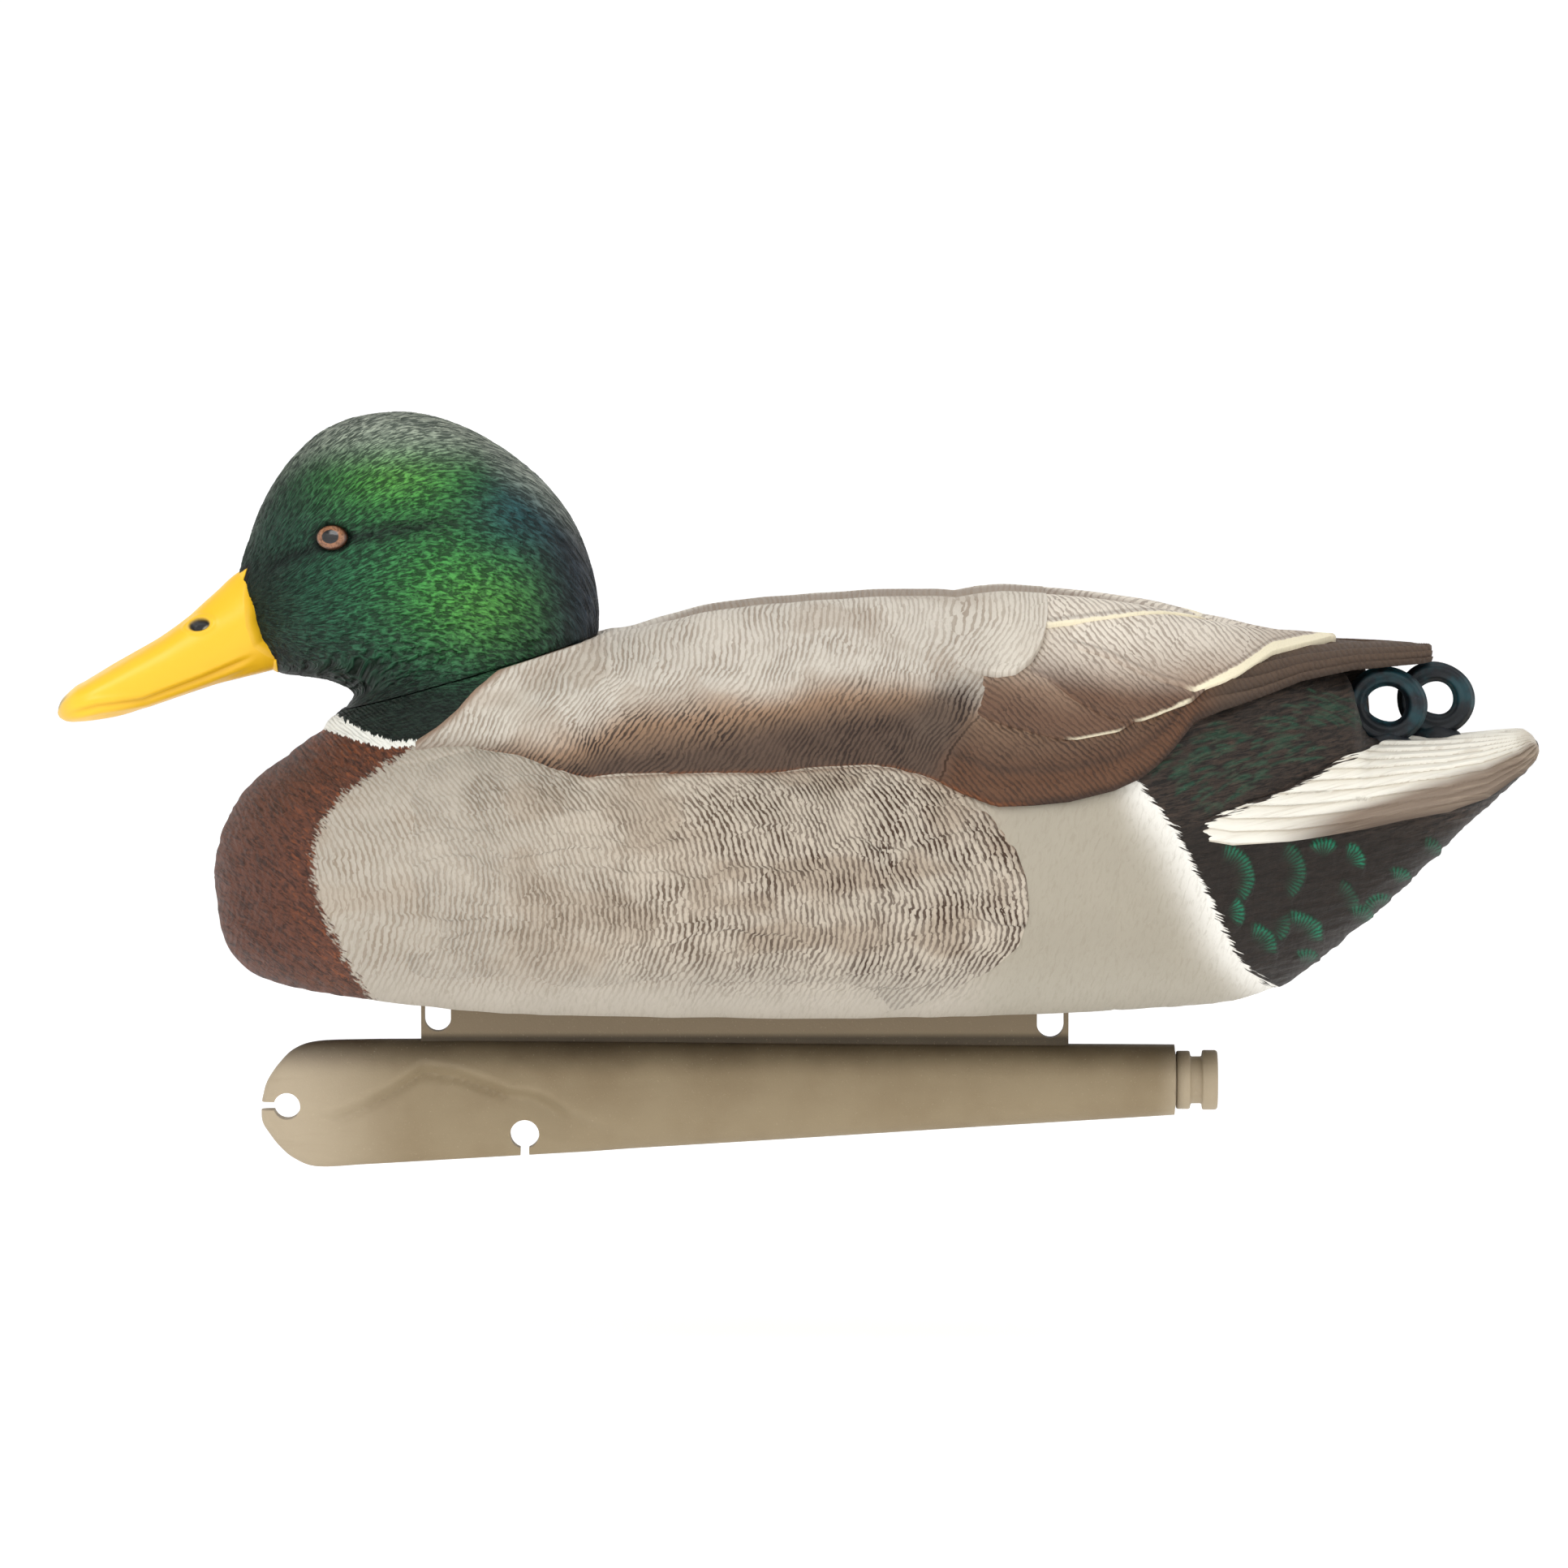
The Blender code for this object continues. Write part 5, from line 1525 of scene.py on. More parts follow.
# ----------------------------------------------------------------------- bill
DIP = math.radians(24.3)
B_AX = np.array([-math.cos(DIP), 0, -math.sin(DIP)])
B_UP = np.array([-math.sin(DIP), 0, math.cos(DIP)])
B_ROOT = np.array([-140.8, 0.0, 87.2])
BILL = np.array([
    (-4.0, 13.6, -15.0, 10.6, 0.92),
    (0.0,  13.3, -14.9, 10.6, 0.90),
    (3.0,  12.6, -14.7, 10.5, 0.90),
    (7.0,  11.2, -14.0, 10.3, 0.88),
    (13.0,  9.3, -12.9, 9.9, 0.85),
    (18.0,  7.7, -12.1, 9.8, 0.82),
    (27.0,  5.9, -11.2, 10.1, 0.78),
    (36.0,  5.0, -10.3, 10.9, 0.74),
    (45.0,  4.2, -9.1, 11.8, 0.72),
    (52.0,  3.5, -7.4, 11.6, 0.72),
    (57.0,  2.1, -5.8, 9.4, 0.74),
    (60.0,  0.6, -4.3, 6.0, 0.80),
    (61.4, -1.1, -2.7, 1.6, 1.00),
])


def build_bill():
    D = catmull(BILL, 30)
    nu, nv = 240, 220
    a = np.linspace(0, 2 * math.pi, nv, endpoint=False)
    ca, sa = np.cos(a), np.sin(a)
    # the root edge bows with the face
    vv = np.interp(sa, [-1, 0, 1], [-14.8, 0, 13.6])
    s0 = np.interp(vv, [-14.8, -12.4, -9.9, -5.6, 0.3, 7.65, 11.5, 13.6],
                   [1.0, 0.2, 2.1, 4.5, 4.0, 1.15, -1.5, -3.1]) - 0.4
    t = np.linspace(0, 1, nu) ** 0.92
    S = s0[None, :] + (61.4 - s0[None, :]) * t[:, None]
    col = [np.interp(S, D[:, 0], D[:, k]) for k in range(1, 5)]
    top, low, half, p = col
    mid, tall = (top + low) / 2, (top - low) / 2
    sgn = lambda q, e: np.sign(q) * np.abs(q) ** e
    V_ = mid + tall * sgn(sa[None, :], p)
    Y_ = half * sgn(ca[None, :], p)
    Y_ = Y_ * (1 - 0.16 * smooth(0.1, 1.0, sa)[None, :] * smooth(24, 6, S))
    P = B_ROOT + S[..., None] * B_AX + V_[..., None] * B_UP
    P[..., 1] = Y_
    n = grid_normals(P, True)
    if ((P - P.mean((0, 1))) * n).sum(-1).mean() < 0:
        n = -n
    ridge_v = np.interp(S, [2.7, 20, 37.7, 50, 57], [-8.9, -8.6, -7.4, -3.6, -2.4])
    q = V_ - ridge_v
    run = smooth(4, 12, S) * (1 - smooth(53, 60, S))
    d = (-0.45 * gauss(q, 0.7) + 0.40 * gauss(q - 1.6, 1.1) + 0.25 * gauss(q + 1.6, 0.9)
         - 0.18 * gauss(q + 3.0, 0.7)) * run
    # nostril: a slanted pit with a raised rim
    ns, nvv = S - 15.4, V_ - 5.2
    rn = np.hypot((ns * 0.97 + nvv * 0.25) / 3.3, (nvv * 0.97 - ns * 0.25) / 1.8)
    sidew = smooth(3, 6, np.abs(Y_))
    d = d - 1.6 * smooth(1.0, 0.5, rn) * sidew + 0.36 * gauss(rn - 1.25, 0.25) * sidew
    # the tip's nail and a soft crown to the culmen
    nail = smooth(51, 54, S) * smooth(0.1, 0.7, sa)[None, :]
    d = d + 0.35 * nail * (1 - smooth(58, 61, S))
    d = d + 0.35 * gauss(Y_, 3.0) * smooth(0.4, 1, sa)[None, :] * (1 - smooth(40, 52, S))
    P = P + n * d[..., None]
    yellow = srgb(245, 193, 32)
    c = np.broadcast_to(yellow, P.shape).copy()
    c = mixc(c, srgb(236, 178, 26), smooth(-3, -12, V_) * 0.5)
    c = mixc(c, srgb(248, 203, 48), gauss(V_ - 2, 5) * smooth(10, 45, S) * 0.5)
    # painted shade: darker orange in the groove along the bill's side
    c = mixc(c, srgb(196, 140, 20), gauss(q, 0.6) * run * 0.35)
    c = mixc(c, srgb(212, 172, 60), smooth(54, 61, S) * 0.5)
    # painted shade: the nostril pit near black, with a pale painted patch of light seen through it
    c = mixc(c, srgb(40, 40, 42), smooth(1.02, 0.78, rn) * sidew)
    c = mixc(c, srgb(176, 168, 146), smooth(0.72, 0.3, np.hypot((ns + 1.2) / 1.9, (nvv + 0.8) / 0.9))
             * sidew * 0.85)
    # painted shade: a dark line along the top of the nail, for its far side
    c = mixc(c, srgb(60, 52, 40), gauss(V_ - (top - 0.3), 0.35) * smooth(55, 59, S) * (1 - smooth(60, 61, S)) * 0.7)
    V = P.reshape(-1, 3)
    rear = V[:nv].mean(0) - B_AX * 3
    tip = V[-nv:].mean(0)
    V = np.vstack([V, rear, tip])
    k = len(V)
    # an inner ring folds the root edge under, into the face
    V = np.vstack([V, P[0] - n[0] * 2.2 - B_AX * 2.5])
    faces = [tuple(f) for f in grid_faces(nu, nv, True).tolist()]
    b0 = np.arange(nv)
    b0n = np.roll(b0, -1)
    b1 = (nu - 1) * nv + b0
    faces += [(int(i), int(j), int(k + j), int(k + i)) for i, j in zip(b0, b0n)]
    faces += [(int(k + i), int(k + j), k - 2) for i, j in zip(b0, b0n)]
    faces += [(int(i), int(j), k - 1) for i, j in zip(b1, np.roll(b1, -1))]
    cc = np.clip(c, 0, 1).reshape(-1, 3)
    cc = np.vstack([cc, cc[:1], cc[-1:], cc[:nv]])
    m = Nodes("painted_bill")
    o = m.obj()
    cloud = m.noise(o, 70.0, 3.0, 0.55)
    fine = m.noise(o, 900.0, 2.0, 0.6)
    colr = m.mix(m.colour("paint"), rgba(srgb(238, 178, 26)),
                 m.math("MULTIPLY", m.band(cloud, 0.48, 0.75), 0.28))
    nrm = m.bump(m.math("ADD", cloud, m.math("MULTIPLY", fine, 0.12)), 0.12, 0.0006)
    mat = m.done(colr, m.span(cloud, 0.3, 0.7, 0.36, 0.46), nrm, 0.45, (0.12, 0.25))
    finish_mesh("bill_skin", V, faces, {"paint": cc}, mat, "head", ("bill",))


build_bill()


# ----------------------------------------------------------------------- eyes
def build_eyes():
    m = Nodes("eye_gloss")
    r = m.attr("ring")
    flick = m.noise(m.obj(), 1600.0, 3.0, 0.6)
    iris = m.mix(rgba(srgb(158, 108, 74)), rgba(srgb(96, 60, 38)),
                 m.band(flick, 0.35, 0.7))
    rim = m.mix(iris, rgba(srgb(58, 34, 22)), m.band(r, 0.76, 0.95))
    colr = m.mix(rgba(srgb(14, 12, 12)), rim, m.band(r, 0.50, 0.58))
    mat = m.done(colr, m.span(flick, 0.3, 0.7, 0.16, 0.24), None, 0.45, (0.35, 0.08))
    for side, tag in ((-1, "left"), (1, "right")):
        lo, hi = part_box("eye_" + tag)
        cen = (np.array(lo) + np.array(hi)) / 2 / MM
        nu, nv = 44, 72
        th = np.linspace(0, math.pi, nu)
        ph = np.linspace(0, 2 * math.pi, nv, endpoint=False)
        ex = np.sin(th)[:, None] * np.cos(ph)[None, :]
        ez = np.sin(th)[:, None] * np.sin(ph)[None, :]
        ey = np.cos(th)[:, None] * np.ones(nv)[None, :]
        P = np.stack([ex * 4.5, ey * 2.1 * 1.0, ez * 3.5], -1)
        ring = np.hypot(ex, ez)
        ry = math.radians(side * 16.0)
        rx = math.radians(side * 10.0)
        R = np.array(Matrix.Rotation(ry, 3, "Z") @ Matrix.Rotation(rx, 3, "X"))
        V = P.reshape(-1, 3) @ R.T + cen
        f = grid_faces(nu, nv, True)
        ob = new_mesh("eye_ball_" + tag, V, f, {"ring": ring.ravel()}, body="head",
                      mat=mat, replaces=("eye_" + tag,))
        bm = bmesh.new()
        bm.from_mesh(ob.data)
        bmesh.ops.remove_doubles(bm, verts=bm.verts[:], dist=1e-7)
        bmesh.ops.recalc_face_normals(bm, faces=bm.faces[:])
        bm.to_mesh(ob.data)
        bm.free()


build_eyes()


# ---------------------------------------------------------------- tail curls
def build_curls():
    m = Nodes("painted_curl")
    o = m.obj()
    cl = m.noise(o, 120.0, 3.0, 0.6)
    st = m.noise(o, 900.0, 3.0, 0.6)
    colr = m.mix(rgba(srgb(20, 26, 32)), rgba(srgb(20, 62, 70)), m.band(cl, 0.42, 0.66))
    colr = m.mix(colr, rgba(srgb(48, 52, 66)), m.math("MULTIPLY", m.band(st, 0.55, 0.75), 0.5))
    nrm = m.bump(m.math("ADD", m.attr("groove"), m.math("MULTIPLY", st, 0.4)), 0.5, 0.0004)
    mat = m.done(colr, m.span(st, 0.3, 0.7, 0.42, 0.58), nrm, 0.4)
    for tag in ("left", "right"):
        lo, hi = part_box("tail_curl_" + tag)
        lo, hi = np.array(lo) / MM, np.array(hi) / MM
        cx, cy = (lo[0] + hi[0]) / 2, (lo[1] + hi[1]) / 2
        cz = hi[2] - (hi[0] - lo[0]) / 2
        R = (hi[0] - lo[0]) / 2 - 2.45
        if tag == "left":
            R, cx = R + 0.35, cx - 0.7
        nu, nv = 170, 40
        a = np.linspace(0, 2 * math.pi, nu, endpoint=False) - math.pi / 2
        b = np.linspace(0, 2 * math.pi, nv, endpoint=False)
        # slightly egg shaped, thick at the root and thinning round the loop
        q = (a + math.pi / 2) / (2 * math.pi)
        rad = R * (1 + 0.035 * np.cos(2 * a + 0.6))
        tube = 3.15 - 0.45 * np.sin(math.pi * q) + 0.15 * np.cos(3 * a)
        cxp = cx + rad * np.cos(a)
        czp = cz + rad * np.sin(a)
        groove = np.cos(b * 6)[None, :] * np.ones(nu)[:, None]
        tt = tube[:, None] * (1 + 0.02 * groove)
        rr = tt * np.cos(b)[None, :]
        P = np.stack([cxp[:, None] + rr * np.cos(a)[:, None],
                      cy + tt * 0.84 * np.sin(b)[None, :],
                      czp[:, None] + rr * np.sin(a)[:, None]], -1)
        i = np.arange(nu)[:, None]
        j = np.arange(nv)[None, :]
        i2, j2 = (i + 1) % nu, (j + 1) % nv
        F = np.stack([i * nv + j + 0 * i2, i * nv + j2, i2 * nv + j2, i2 * nv + j], -1).reshape(-1, 4)
        V = P.reshape(-1, 3)
        g = groove.ravel()
        # a flared foot that roots the loop in the tail
        k = len(V)
        rings = [(cz - R + 0.6, 2.2, 2.4), (cz - R - 0.4, 4.6, 2.9), (cz - R - 1.6, 6.6, 3.3),
                 (lo[2] + 5.2, 8.2, 3.6), (lo[2] + 4.2, 8.0, 3.5), (lo[2] + 3.2, 2.1, 1.9),
                 (lo[2] + 0.3, 2.0, 1.8)]
        foot = []
        for z, r, r2 in rings:
            foot.append(np.stack([cx + r * np.cos(b), cy + r2 * np.sin(b), z + 0 * b], -1))
        V = np.vstack([V] + foot)
        FF = grid_faces(len(rings), nv, True, base=k)
        cap = []
        V = np.vstack([V, foot[0].mean(0), foot[-1].mean(0)])
        kk = len(V)
        bb = np.arange(nv)
        tri = [(int(k + p), int(k + r_), kk - 2) for p, r_ in zip(bb, np.roll(bb, -1))]
        l_ = k + (len(rings) - 1) * nv
        tri += [(int(l_ + p), int(l_ + r_), kk - 1) for p, r_ in zip(bb, np.roll(bb, -1))]
        faces = [tuple(f) for f in F.tolist()] + [tuple(f) for f in FF.tolist()] + tri
        me = bpy.data.meshes.new("curl_" + tag)
        me.from_pydata((V * MM).tolist(), [], faces)
        at = me.attributes.new("groove", "FLOAT", "POINT")
        at.data.foreach_set("value", np.concatenate([g, np.zeros(len(V) - len(g))]))
        bm = bmesh.new()
        bm.from_mesh(me)
        bmesh.ops.recalc_face_normals(bm, faces=bm.faces[:])
        bm.to_mesh(me)
        bm.free()
        me.polygons.foreach_set("use_smooth", [True] * len(me.polygons))
        me.materials.append(mat)
        ob = bpy.data.objects.new("curl_" + tag, me)
        bpy.context.scene.collection.objects.link(ob)
        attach(ob, "hull")
        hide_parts("tail_curl_" + tag)


build_curls()


# ----------------------------------------------------------------------- keel
def keel_material(name, tint=1.0):
    m = Nodes(name)
    o = m.obj()
    sep = m.node("ShaderNodeSeparateXYZ")
    m.put(sep.inputs[0], o)
    x, z = sep.outputs[0], sep.outputs[2]
    cloud = m.noise(o, 38.0, 3.0, 0.6)
    spray = m.noise(o, 1500.0, 2.0, 0.7)
    streak = m.noise(m.xyz(m.math("MULTIPLY", x, 30.0),
                           m.math("MULTIPLY", sep.outputs[1], 260.0),
                           m.math("MULTIPLY", z, 260.0)), 1.0, 3.0, 0.6)
    colr = m.mix(rgba(srgb(148, 132, 104) * tint), rgba(srgb(139, 122, 94) * tint),
                 m.band(cloud, 0.35, 0.7))
    # paler towards the nose, which is painted light, and on the plug; darker under the hull, which is painted shade
    pale = m.math("MAXIMUM", m.band(x, -0.095, -0.135), m.math("MULTIPLY", m.band(x, 0.105, 0.114), 0.8))
    colr = m.mix(colr, rgba(srgb(184, 169, 145) * tint), m.math("MULTIPLY", pale, 0.75))
    colr = m.mix(colr, rgba(srgb(128, 110, 84) * tint),
                 m.math("MULTIPLY", m.band(streak, 0.52, 0.78), 0.12))
    # painted shade: a dark band along the keel's top, under the hull
    hull_shade_z = m.math("ADD", z, m.math("MULTIPLY", m.math("SUBTRACT", cloud, 0.5), 0.004))
    colr = m.mix(colr, rgba(srgb(52, 42, 29)), m.math("MULTIPLY", m.band(hull_shade_z, -0.0400, -0.0285), 0.88))
    colr = m.mix(colr, rgba(srgb(138, 122, 98)), m.math("MULTIPLY", m.band(z, -0.0290, -0.0270), 0.9))
    colr = m.mix(colr, rgba(srgb(206, 192, 166)), m.math("MULTIPLY", m.band(spray, 0.6, 0.8), 0.22))
    nrm = m.bump(m.math("ADD", spray, m.math("MULTIPLY", cloud, 0.6)), 0.35, 0.00025)
    return m.done(colr, m.span(spray, 0.3, 0.7, 0.50, 0.68), nrm, 0.35)


def mesh_object(name, V, faces, mat, body, slot, smooth_shade=True):
    me = bpy.data.meshes.new(name)
    me.from_pydata((np.asarray(V) * MM).tolist(), [], faces)
    bm = bmesh.new()
    bm.from_mesh(me)
    bmesh.ops.recalc_face_normals(bm, faces=bm.faces[:])
    bm.to_mesh(me)
    bm.free()
    me.polygons.foreach_set("use_smooth", [smooth_shade] * len(me.polygons))
    if mat:
        me.materials.append(mat)
    ob = bpy.data.objects.new(name, me)
    bpy.context.scene.collection.objects.link(ob)
    return ob


def prism(outline, y0, y1):
    n = len(outline)
    V = [(x, y0, z) for x, z in outline] + [(x, y1, z) for x, z in outline]
    F = [tuple(range(n)), tuple(range(2 * n - 1, n - 1, -1))]
    F += [(i, (i + 1) % n, n + (i + 1) % n, n + i) for i in range(n)]
    return V, F


def keyhole(x, z, r, half_slot, towards, reach, steps=64):
    lip = math.degrees(math.asin(half_slot / r))
    pts = []
    for k in range(steps + 1):
        a = math.radians(towards + lip + (360.0 - 2 * lip) * k / steps)
        pts.append((x + r * math.cos(a), z + r * math.sin(a)))
    c, s = math.cos(math.radians(towards)), math.sin(math.radians(towards))
    for side in (-half_slot, half_slot):
        pts.append((x + reach * c - side * s, z + reach * s + side * c))
    return pts


KX0 = keel_lo[0] / MM
KX1 = keel_hi[0] / MM
KEEL = np.array([
    (KX0,    -47.0, -51.0, 1.2, 1.2),
    (KX0 + 0.4, -44.8, -52.6, 2.6, 2.6),
    (-138.9, -40.8, -54.6, 3.6, 3.6),
    (-135.7, -36.0, -58.8, 4.0, 3.9),
    (-131.4, -31.9, -62.4, 4.8, 4.0),
    (-125.0, -29.8, -64.6, 5.6, 4.1),
    (-112.0, -29.3, -64.0, 7.0, 4.1),
    (-98.0,  -29.2, -63.2, 8.4, 4.1),
    (-86.0,  -29.2, -62.5, 9.3, 4.2),
    (-74.0,  -29.3, -61.8, 9.8, 4.6),
    (-62.0,  -29.4, -61.1, 10.1, 5.4),
    (-50.0,  -29.5, -60.4, 10.2, 7.6),
    (-36.0,  -29.6, -59.4, 10.2, 9.6),
    (0.0,    -30.0, -57.2, 10.1, 10.1),
    (55.0,   -30.5, -53.7, 10.0, 10.0),
    (107.0,  -30.8, -50.5, 9.8, 9.8),
    (108.6,  -31.0, -50.2, 9.7, 9.7),
    (110.4,  -31.9, -49.3, 8.9, 8.9),
    (KX1,    -32.7, -48.5, 8.1, 8.1),
])


def build_keel():
    D = catmull(KEEL, 24)
    nu, nv = 260, 120
    idx = np.interp(np.linspace(0, 1, nu), [0, 0.14, 0.9, 1], [0, 96, 360, len(D) - 1])
    R = np.stack([np.interp(idx, np.arange(len(D)), D[:, k]) for k in range(5)], 1)
    a = np.linspace(0, 2 * math.pi, nv, endpoint=False)
    c, s = np.cos(a)[None, :], np.sin(a)[None, :]
    x = np.broadcast_to(R[:, 0:1], (nu, nv))
    mid, tall = (R[:, 1:2] + R[:, 2:3]) / 2, (R[:, 1:2] - R[:, 2:3]) / 2
    z = mid + tall * s
    w_top, w_foot = R[:, 3:4], R[:, 4:5]
    # the crease between the round tube and the pinched fin
    crease = np.interp(x, [-141, -121, -112, -104, -96, -86, -70, -58, -46],
                       [-46, -50.2, -46.4, -42, -36.5, -38, -44, -48, -54])
    k = smooth(-2.2, 2.6, z - crease)
    w = w_foot + (w_top - w_foot) * k
    y = w * np.sign(c) * np.abs(c) ** 0.86
    y = y - np.sign(c) * 0.9 * gauss(z - crease + 1.6, 1.6) * smooth(-128, -116, x) * \
        (1 - smooth(-72, -56, x)) * np.abs(c) ** 0.4
    dish = np.hypot(x + 67.9, (z + 55.4) * 0.95)
    y = np.sign(c) * np.maximum(np.abs(y) - smooth(13.5, 8.5, dish) * (np.abs(y) - 4.0).clip(0), 0)
    P = np.stack([x, y, z], -1)
    V = P.reshape(-1, 3)
    V = np.vstack([V, V[:nv].mean(0), V[-nv:].mean(0)])
    kk = len(V)
    b0 = np.arange(nv)
    b1 = (nu - 1) * nv + b0
    F = [tuple(f) for f in grid_faces(nu, nv, True).tolist()]
    F += [(int(p), int(q), kk - 2) for p, q in zip(b0, np.roll(b0, -1))]
    F += [(int(p), int(q), kk - 1) for p, q in zip(b1, np.roll(b1, -1))]
    mat = keel_material("painted_keel")
    keel = mesh_object("keel_body", V, F, mat, "hull", "keel_plastic")
    cuts = []

    def cut(name, V, F, op="DIFFERENCE"):
        ob = mesh_object(name, V, F, None, None, None, False)
        cuts.append(ob)
        md = keel.modifiers.new(name, "BOOLEAN")
        md.operation, md.solver, md.object = op, "EXACT", ob

    web = [(-96.4, -32.6), (82.0, -32.6), (82.0, -20.9), (-78.0, -20.9),
           (-88.0, -20.3), (-96.4, -19.6)]
    cut("web", *prism(web, -2.5, 2.5), op="UNION")
    cut("k1", *prism(keyhole(-133.4, -47.6, 3.7, 1.15, 180.0, 13.0), -16, 16))
    cut("k2", *prism(keyhole(-67.9, -55.4, 4.0, 1.2, 270.0, 15.0), -16, 16))
    for nm, (cx, cz, r) in (("t1", (-91.8, -23.4, 3.6)), ("t2", (77.0, -25.1, 3.7))):
        pts = [(cx + r * math.cos(math.radians(q)), cz + r * math.sin(math.radians(q)))
               for q in range(180, 361, 6)] + [(cx + r, -12.0), (cx - r, -12.0)]
        cut(nm, *prism(pts, -16, 16))
    nb = 64
    bore = [(0, 7.4 * math.cos(q), -40.6 + 7.4 * math.sin(q))
            for q in np.linspace(0, 2 * math.pi, nb, endpoint=False)]
    BV = [(-50.0, b_[1], b_[2]) for b_ in bore] + [(125.0, b_[1], b_[2]) for b_ in bore]
    BF = [tuple(range(nb)), tuple(range(2 * nb - 1, nb - 1, -1))]
    BF += [(i, (i + 1) % nb, nb + (i + 1) % nb, nb + i) for i in range(nb)]
    cut("bore", BV, BF)
    dg = bpy.context.evaluated_depsgraph_get()
    me = bpy.data.meshes.new_from_object(keel.evaluated_get(dg))
    old = keel.data
    keel.modifiers.clear()
    keel.data = me
    bpy.data.meshes.remove(old)
    for ob in cuts:
        bpy.data.objects.remove(ob, do_unlink=True)
    bv = keel.modifiers.new("edges", "BEVEL")
    bv.width = 0.0004
    bv.segments = 2
    bv.limit_method = "ANGLE"
    bv.angle_limit = math.radians(50)
    dg = bpy.context.evaluated_depsgraph_get()
    me = bpy.data.meshes.new_from_object(keel.evaluated_get(dg))
    keel.modifiers.clear()
    keel.data = me
    me.polygons.foreach_set("use_smooth", [True] * len(me.polygons))
    sm = keel.modifiers.new("wn", "WEIGHTED_NORMAL")
    sm.keep_sharp = True
    me.set_sharp_from_angle(angle=math.radians(38))
    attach(keel, "hull")
    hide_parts("keel_shell")


build_keel()


def build_plug():
    prof = [(0.0, 92.0), (6.6, 92.0), (7.1, 92.5), (7.1, 99.9), (5.3, 99.9),
            (5.3, 102.1), (7.1, 102.1), (7.1, 111.8), (7.75, 111.8), (8.05, 112.1),
            (8.05, 115.1), (7.8, 115.5), (6.7, 115.7), (6.5, 116.0), (6.5, 118.4),
            (6.7, 118.7), (8.0, 118.9), (8.25, 119.2), (8.25, 122.4), (8.0, 122.9),
            (7.6, 123.1), (5.2, 123.1), (4.9, 122.7), (0.0, 122.7)]
    off = plug_hi[0] / MM - 123.1
    nb = 96
    V, F = [], []
    rows = []
    for r, xx in prof:
        if r < 1e-6:
            rows.append([len(V)])
            V.append((xx + off, 0, -40.6))
        else:
            rows.append(list(range(len(V), len(V) + nb)))
            V += [(xx + off, r * math.cos(q), -40.6 + r * math.sin(q))
                  for q in np.linspace(0, 2 * math.pi, nb, endpoint=False)]
    for A, B in zip(rows, rows[1:]):
        for i in range(nb):
            j = (i + 1) % nb
            if len(A) == 1:
                F.append((A[0], B[j], B[i]))
            elif len(B) == 1:
                F.append((A[i], A[j], B[0]))
            else:
                F.append((A[i], A[j], B[j], B[i]))
    ob = mesh_object("plug_body", V, F, keel_material("painted_plug", 1.04), "plug", None)
    ob.data.set_sharp_from_angle(angle=math.radians(50))
    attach(ob, "plug")
    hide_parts("keel_plug")


build_plug()


# ------------------------------------------- hidden CAD pieces keep their mesh
def dress(node, mat):
    ob = bpy.data.objects.get(node)
    if ob is None:
        return
    if not ob.material_slots:
        ob.data.materials.append(mat)
    for sl in ob.material_slots:
        sl.material = mat


def plain_material(name, a, b, rough, metal=0.0):
    m = Nodes(name)
    o = m.obj()
    c1 = m.noise(o, 90.0, 3.0, 0.6)
    c2 = m.noise(o, 1400.0, 2.0, 0.7)
    col = m.mix(rgba(srgb(*a)), rgba(srgb(*b)), m.band(c1, 0.35, 0.7))
    m.b.inputs["Metallic"].default_value = metal
    nrm = m.bump(m.math("ADD", c1, m.math("MULTIPLY", c2, 0.5)), 0.3, 0.0003)
    return m.done(col, m.span(c2, 0.3, 0.7, rough - 0.06, rough + 0.08), nrm, 0.4)


dress("neck_retainer", plain_material("retainer_moulded", (38, 38, 40), (26, 26, 28), 0.5))
dress("plug_seal", plain_material("seal_moulded", (24, 24, 25), (16, 16, 17), 0.65))
dress("ballast_weight", plain_material("ballast_cast", (120, 120, 122), (92, 92, 96), 0.5, 1.0))


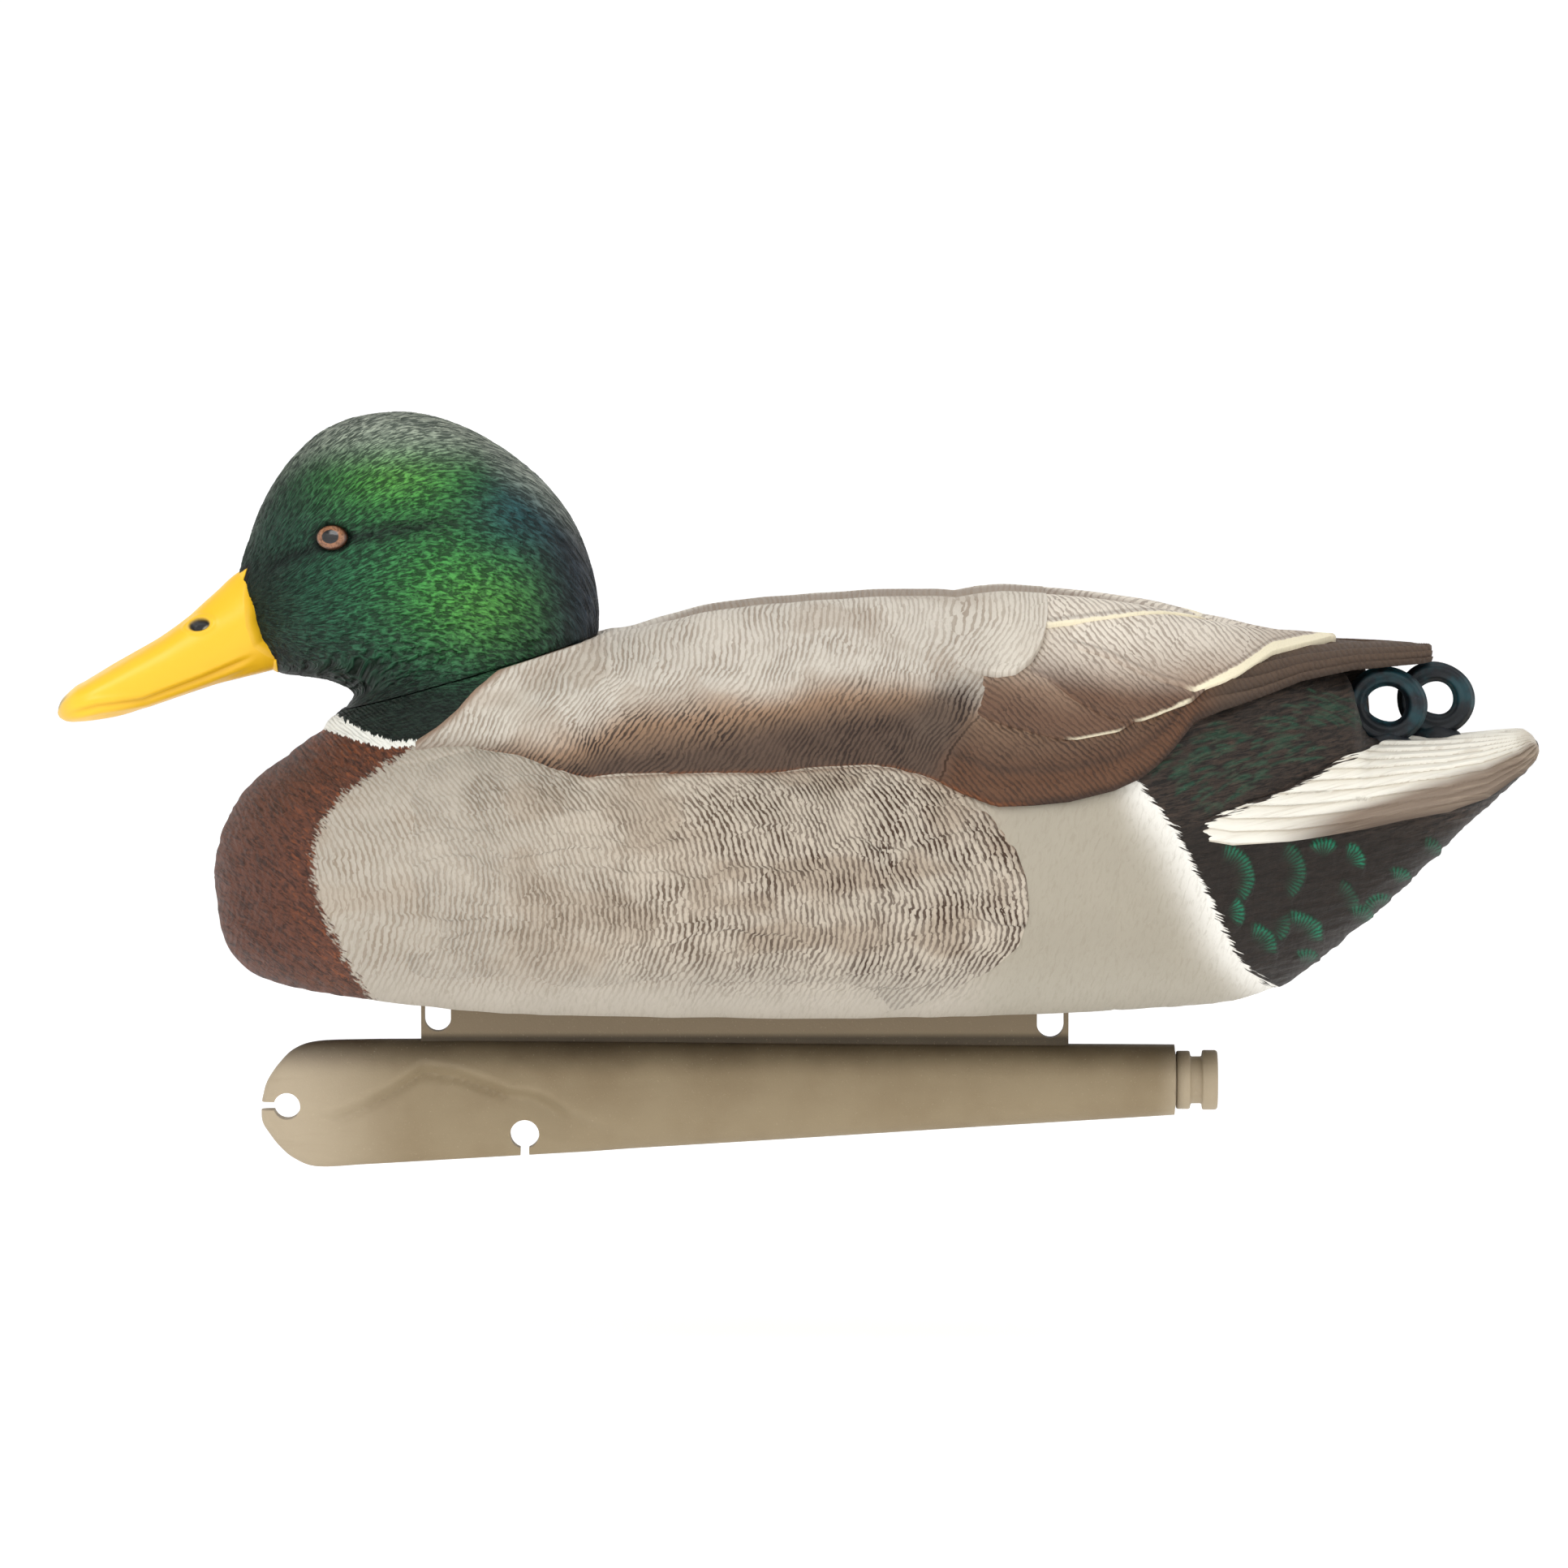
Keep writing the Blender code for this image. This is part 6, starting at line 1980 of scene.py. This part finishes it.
# ----------------------------------------------------------- floor and camera
def build_stage():
    m = Nodes("studio_floor")
    g = m.noise(m.obj(), 6.0, 2.0, 0.5)
    tone = m.mix((0.93, 0.93, 0.93, 1), (0.90, 0.90, 0.90, 1), g)
    m.put(m.b.inputs["Emission Color"], tone)
    m.b.inputs["Emission Strength"].default_value = 0.40
    mat = m.done(tone, 0.75, None, 0.2)
    z0 = cad_box[0][2] - 0.05
    # a round floor that sweeps up into a backdrop on every side
    prof = [(0.02, z0), (2.0, z0), (4.6, z0)]
    for k in range(1, 17):
        a = math.radians(90 * k / 16)
        prof.append((4.6 + 1.6 * math.sin(a), z0 + 1.6 * (1 - math.cos(a))))
    prof.append((6.2, z0 + 4.0))
    me = bpy.data.meshes.new("floor")
    V, F, ns = [], [], 96
    for r, z in prof:
        V += [(r * math.cos(2 * math.pi * q / ns), r * math.sin(2 * math.pi * q / ns), z)
              for q in range(ns)]
    for i in range(len(prof) - 1):
        F += [(i * ns + q, (i + 1) * ns + q, (i + 1) * ns + (q + 1) % ns, i * ns + (q + 1) % ns)
              for q in range(ns)]
    F.append(tuple(range(ns)))
    me.from_pydata(V, [], F)
    me.polygons.foreach_set("use_smooth", [True] * len(me.polygons))
    me.materials.append(mat)
    ob = bpy.data.objects.new("floor", me)
    bpy.context.scene.collection.objects.link(ob)


build_stage()

scene = bpy.context.scene
world = bpy.data.worlds.new("studio")
scene.world = world
world.use_nodes = True
bg = world.node_tree.nodes["Background"]
bg.inputs["Color"].default_value = (1.0, 1.0, 1.0, 1.0)
bg.inputs["Strength"].default_value = 0.46
scene.view_settings.view_transform = "Standard"
scene.view_settings.look = "None"
scene.view_settings.exposure = 0.0


def area(name, loc, target, size, power, colour=(1, 1, 1)):
    ld = bpy.data.lights.new(name, "AREA")
    ld.shape = "RECTANGLE"
    ld.size, ld.size_y = size
    ld.energy = power
    ld.color = colour
    ob = bpy.data.objects.new(name, ld)
    ob.location = loc
    d = Vector(target) - Vector(loc)
    ob.rotation_euler = d.to_track_quat("-Z", "Y").to_euler()
    bpy.context.scene.collection.objects.link(ob)


area("key", (-0.55, -1.15, 1.15), (0.0, 0.0, 0.03), (0.9, 0.7), 8.6)
area("fill", (0.9, -1.3, 0.25), (0.02, 0, 0.02), (1.0, 0.9), 2.2)
area("top", (0.05, 0.25, 1.5), (0.0, 0, 0.0), (1.2, 0.8), 4.4)

lo, hi = cad_box
cen_x = 0.0036
cen_v = 0.0411
dist = 3.2
target = Vector((cen_x, 0.0, cen_v / CE))
cam_d = bpy.data.cameras.new("camera")
cam_d.sensor_width = 36.0
cam_d.lens = 36.0 * dist / 0.4318
cam_d.clip_end = 50.0
cam = bpy.data.objects.new("camera", cam_d)
cam.location = target + Vector((0.0, -dist * CE, dist * SE))
cam.rotation_euler = (target - cam.location).to_track_quat("-Z", "Y").to_euler()
scene.collection.objects.link(cam)
scene.camera = cam


def plain(b):
    return [[float(v) for v in p] for p in b]
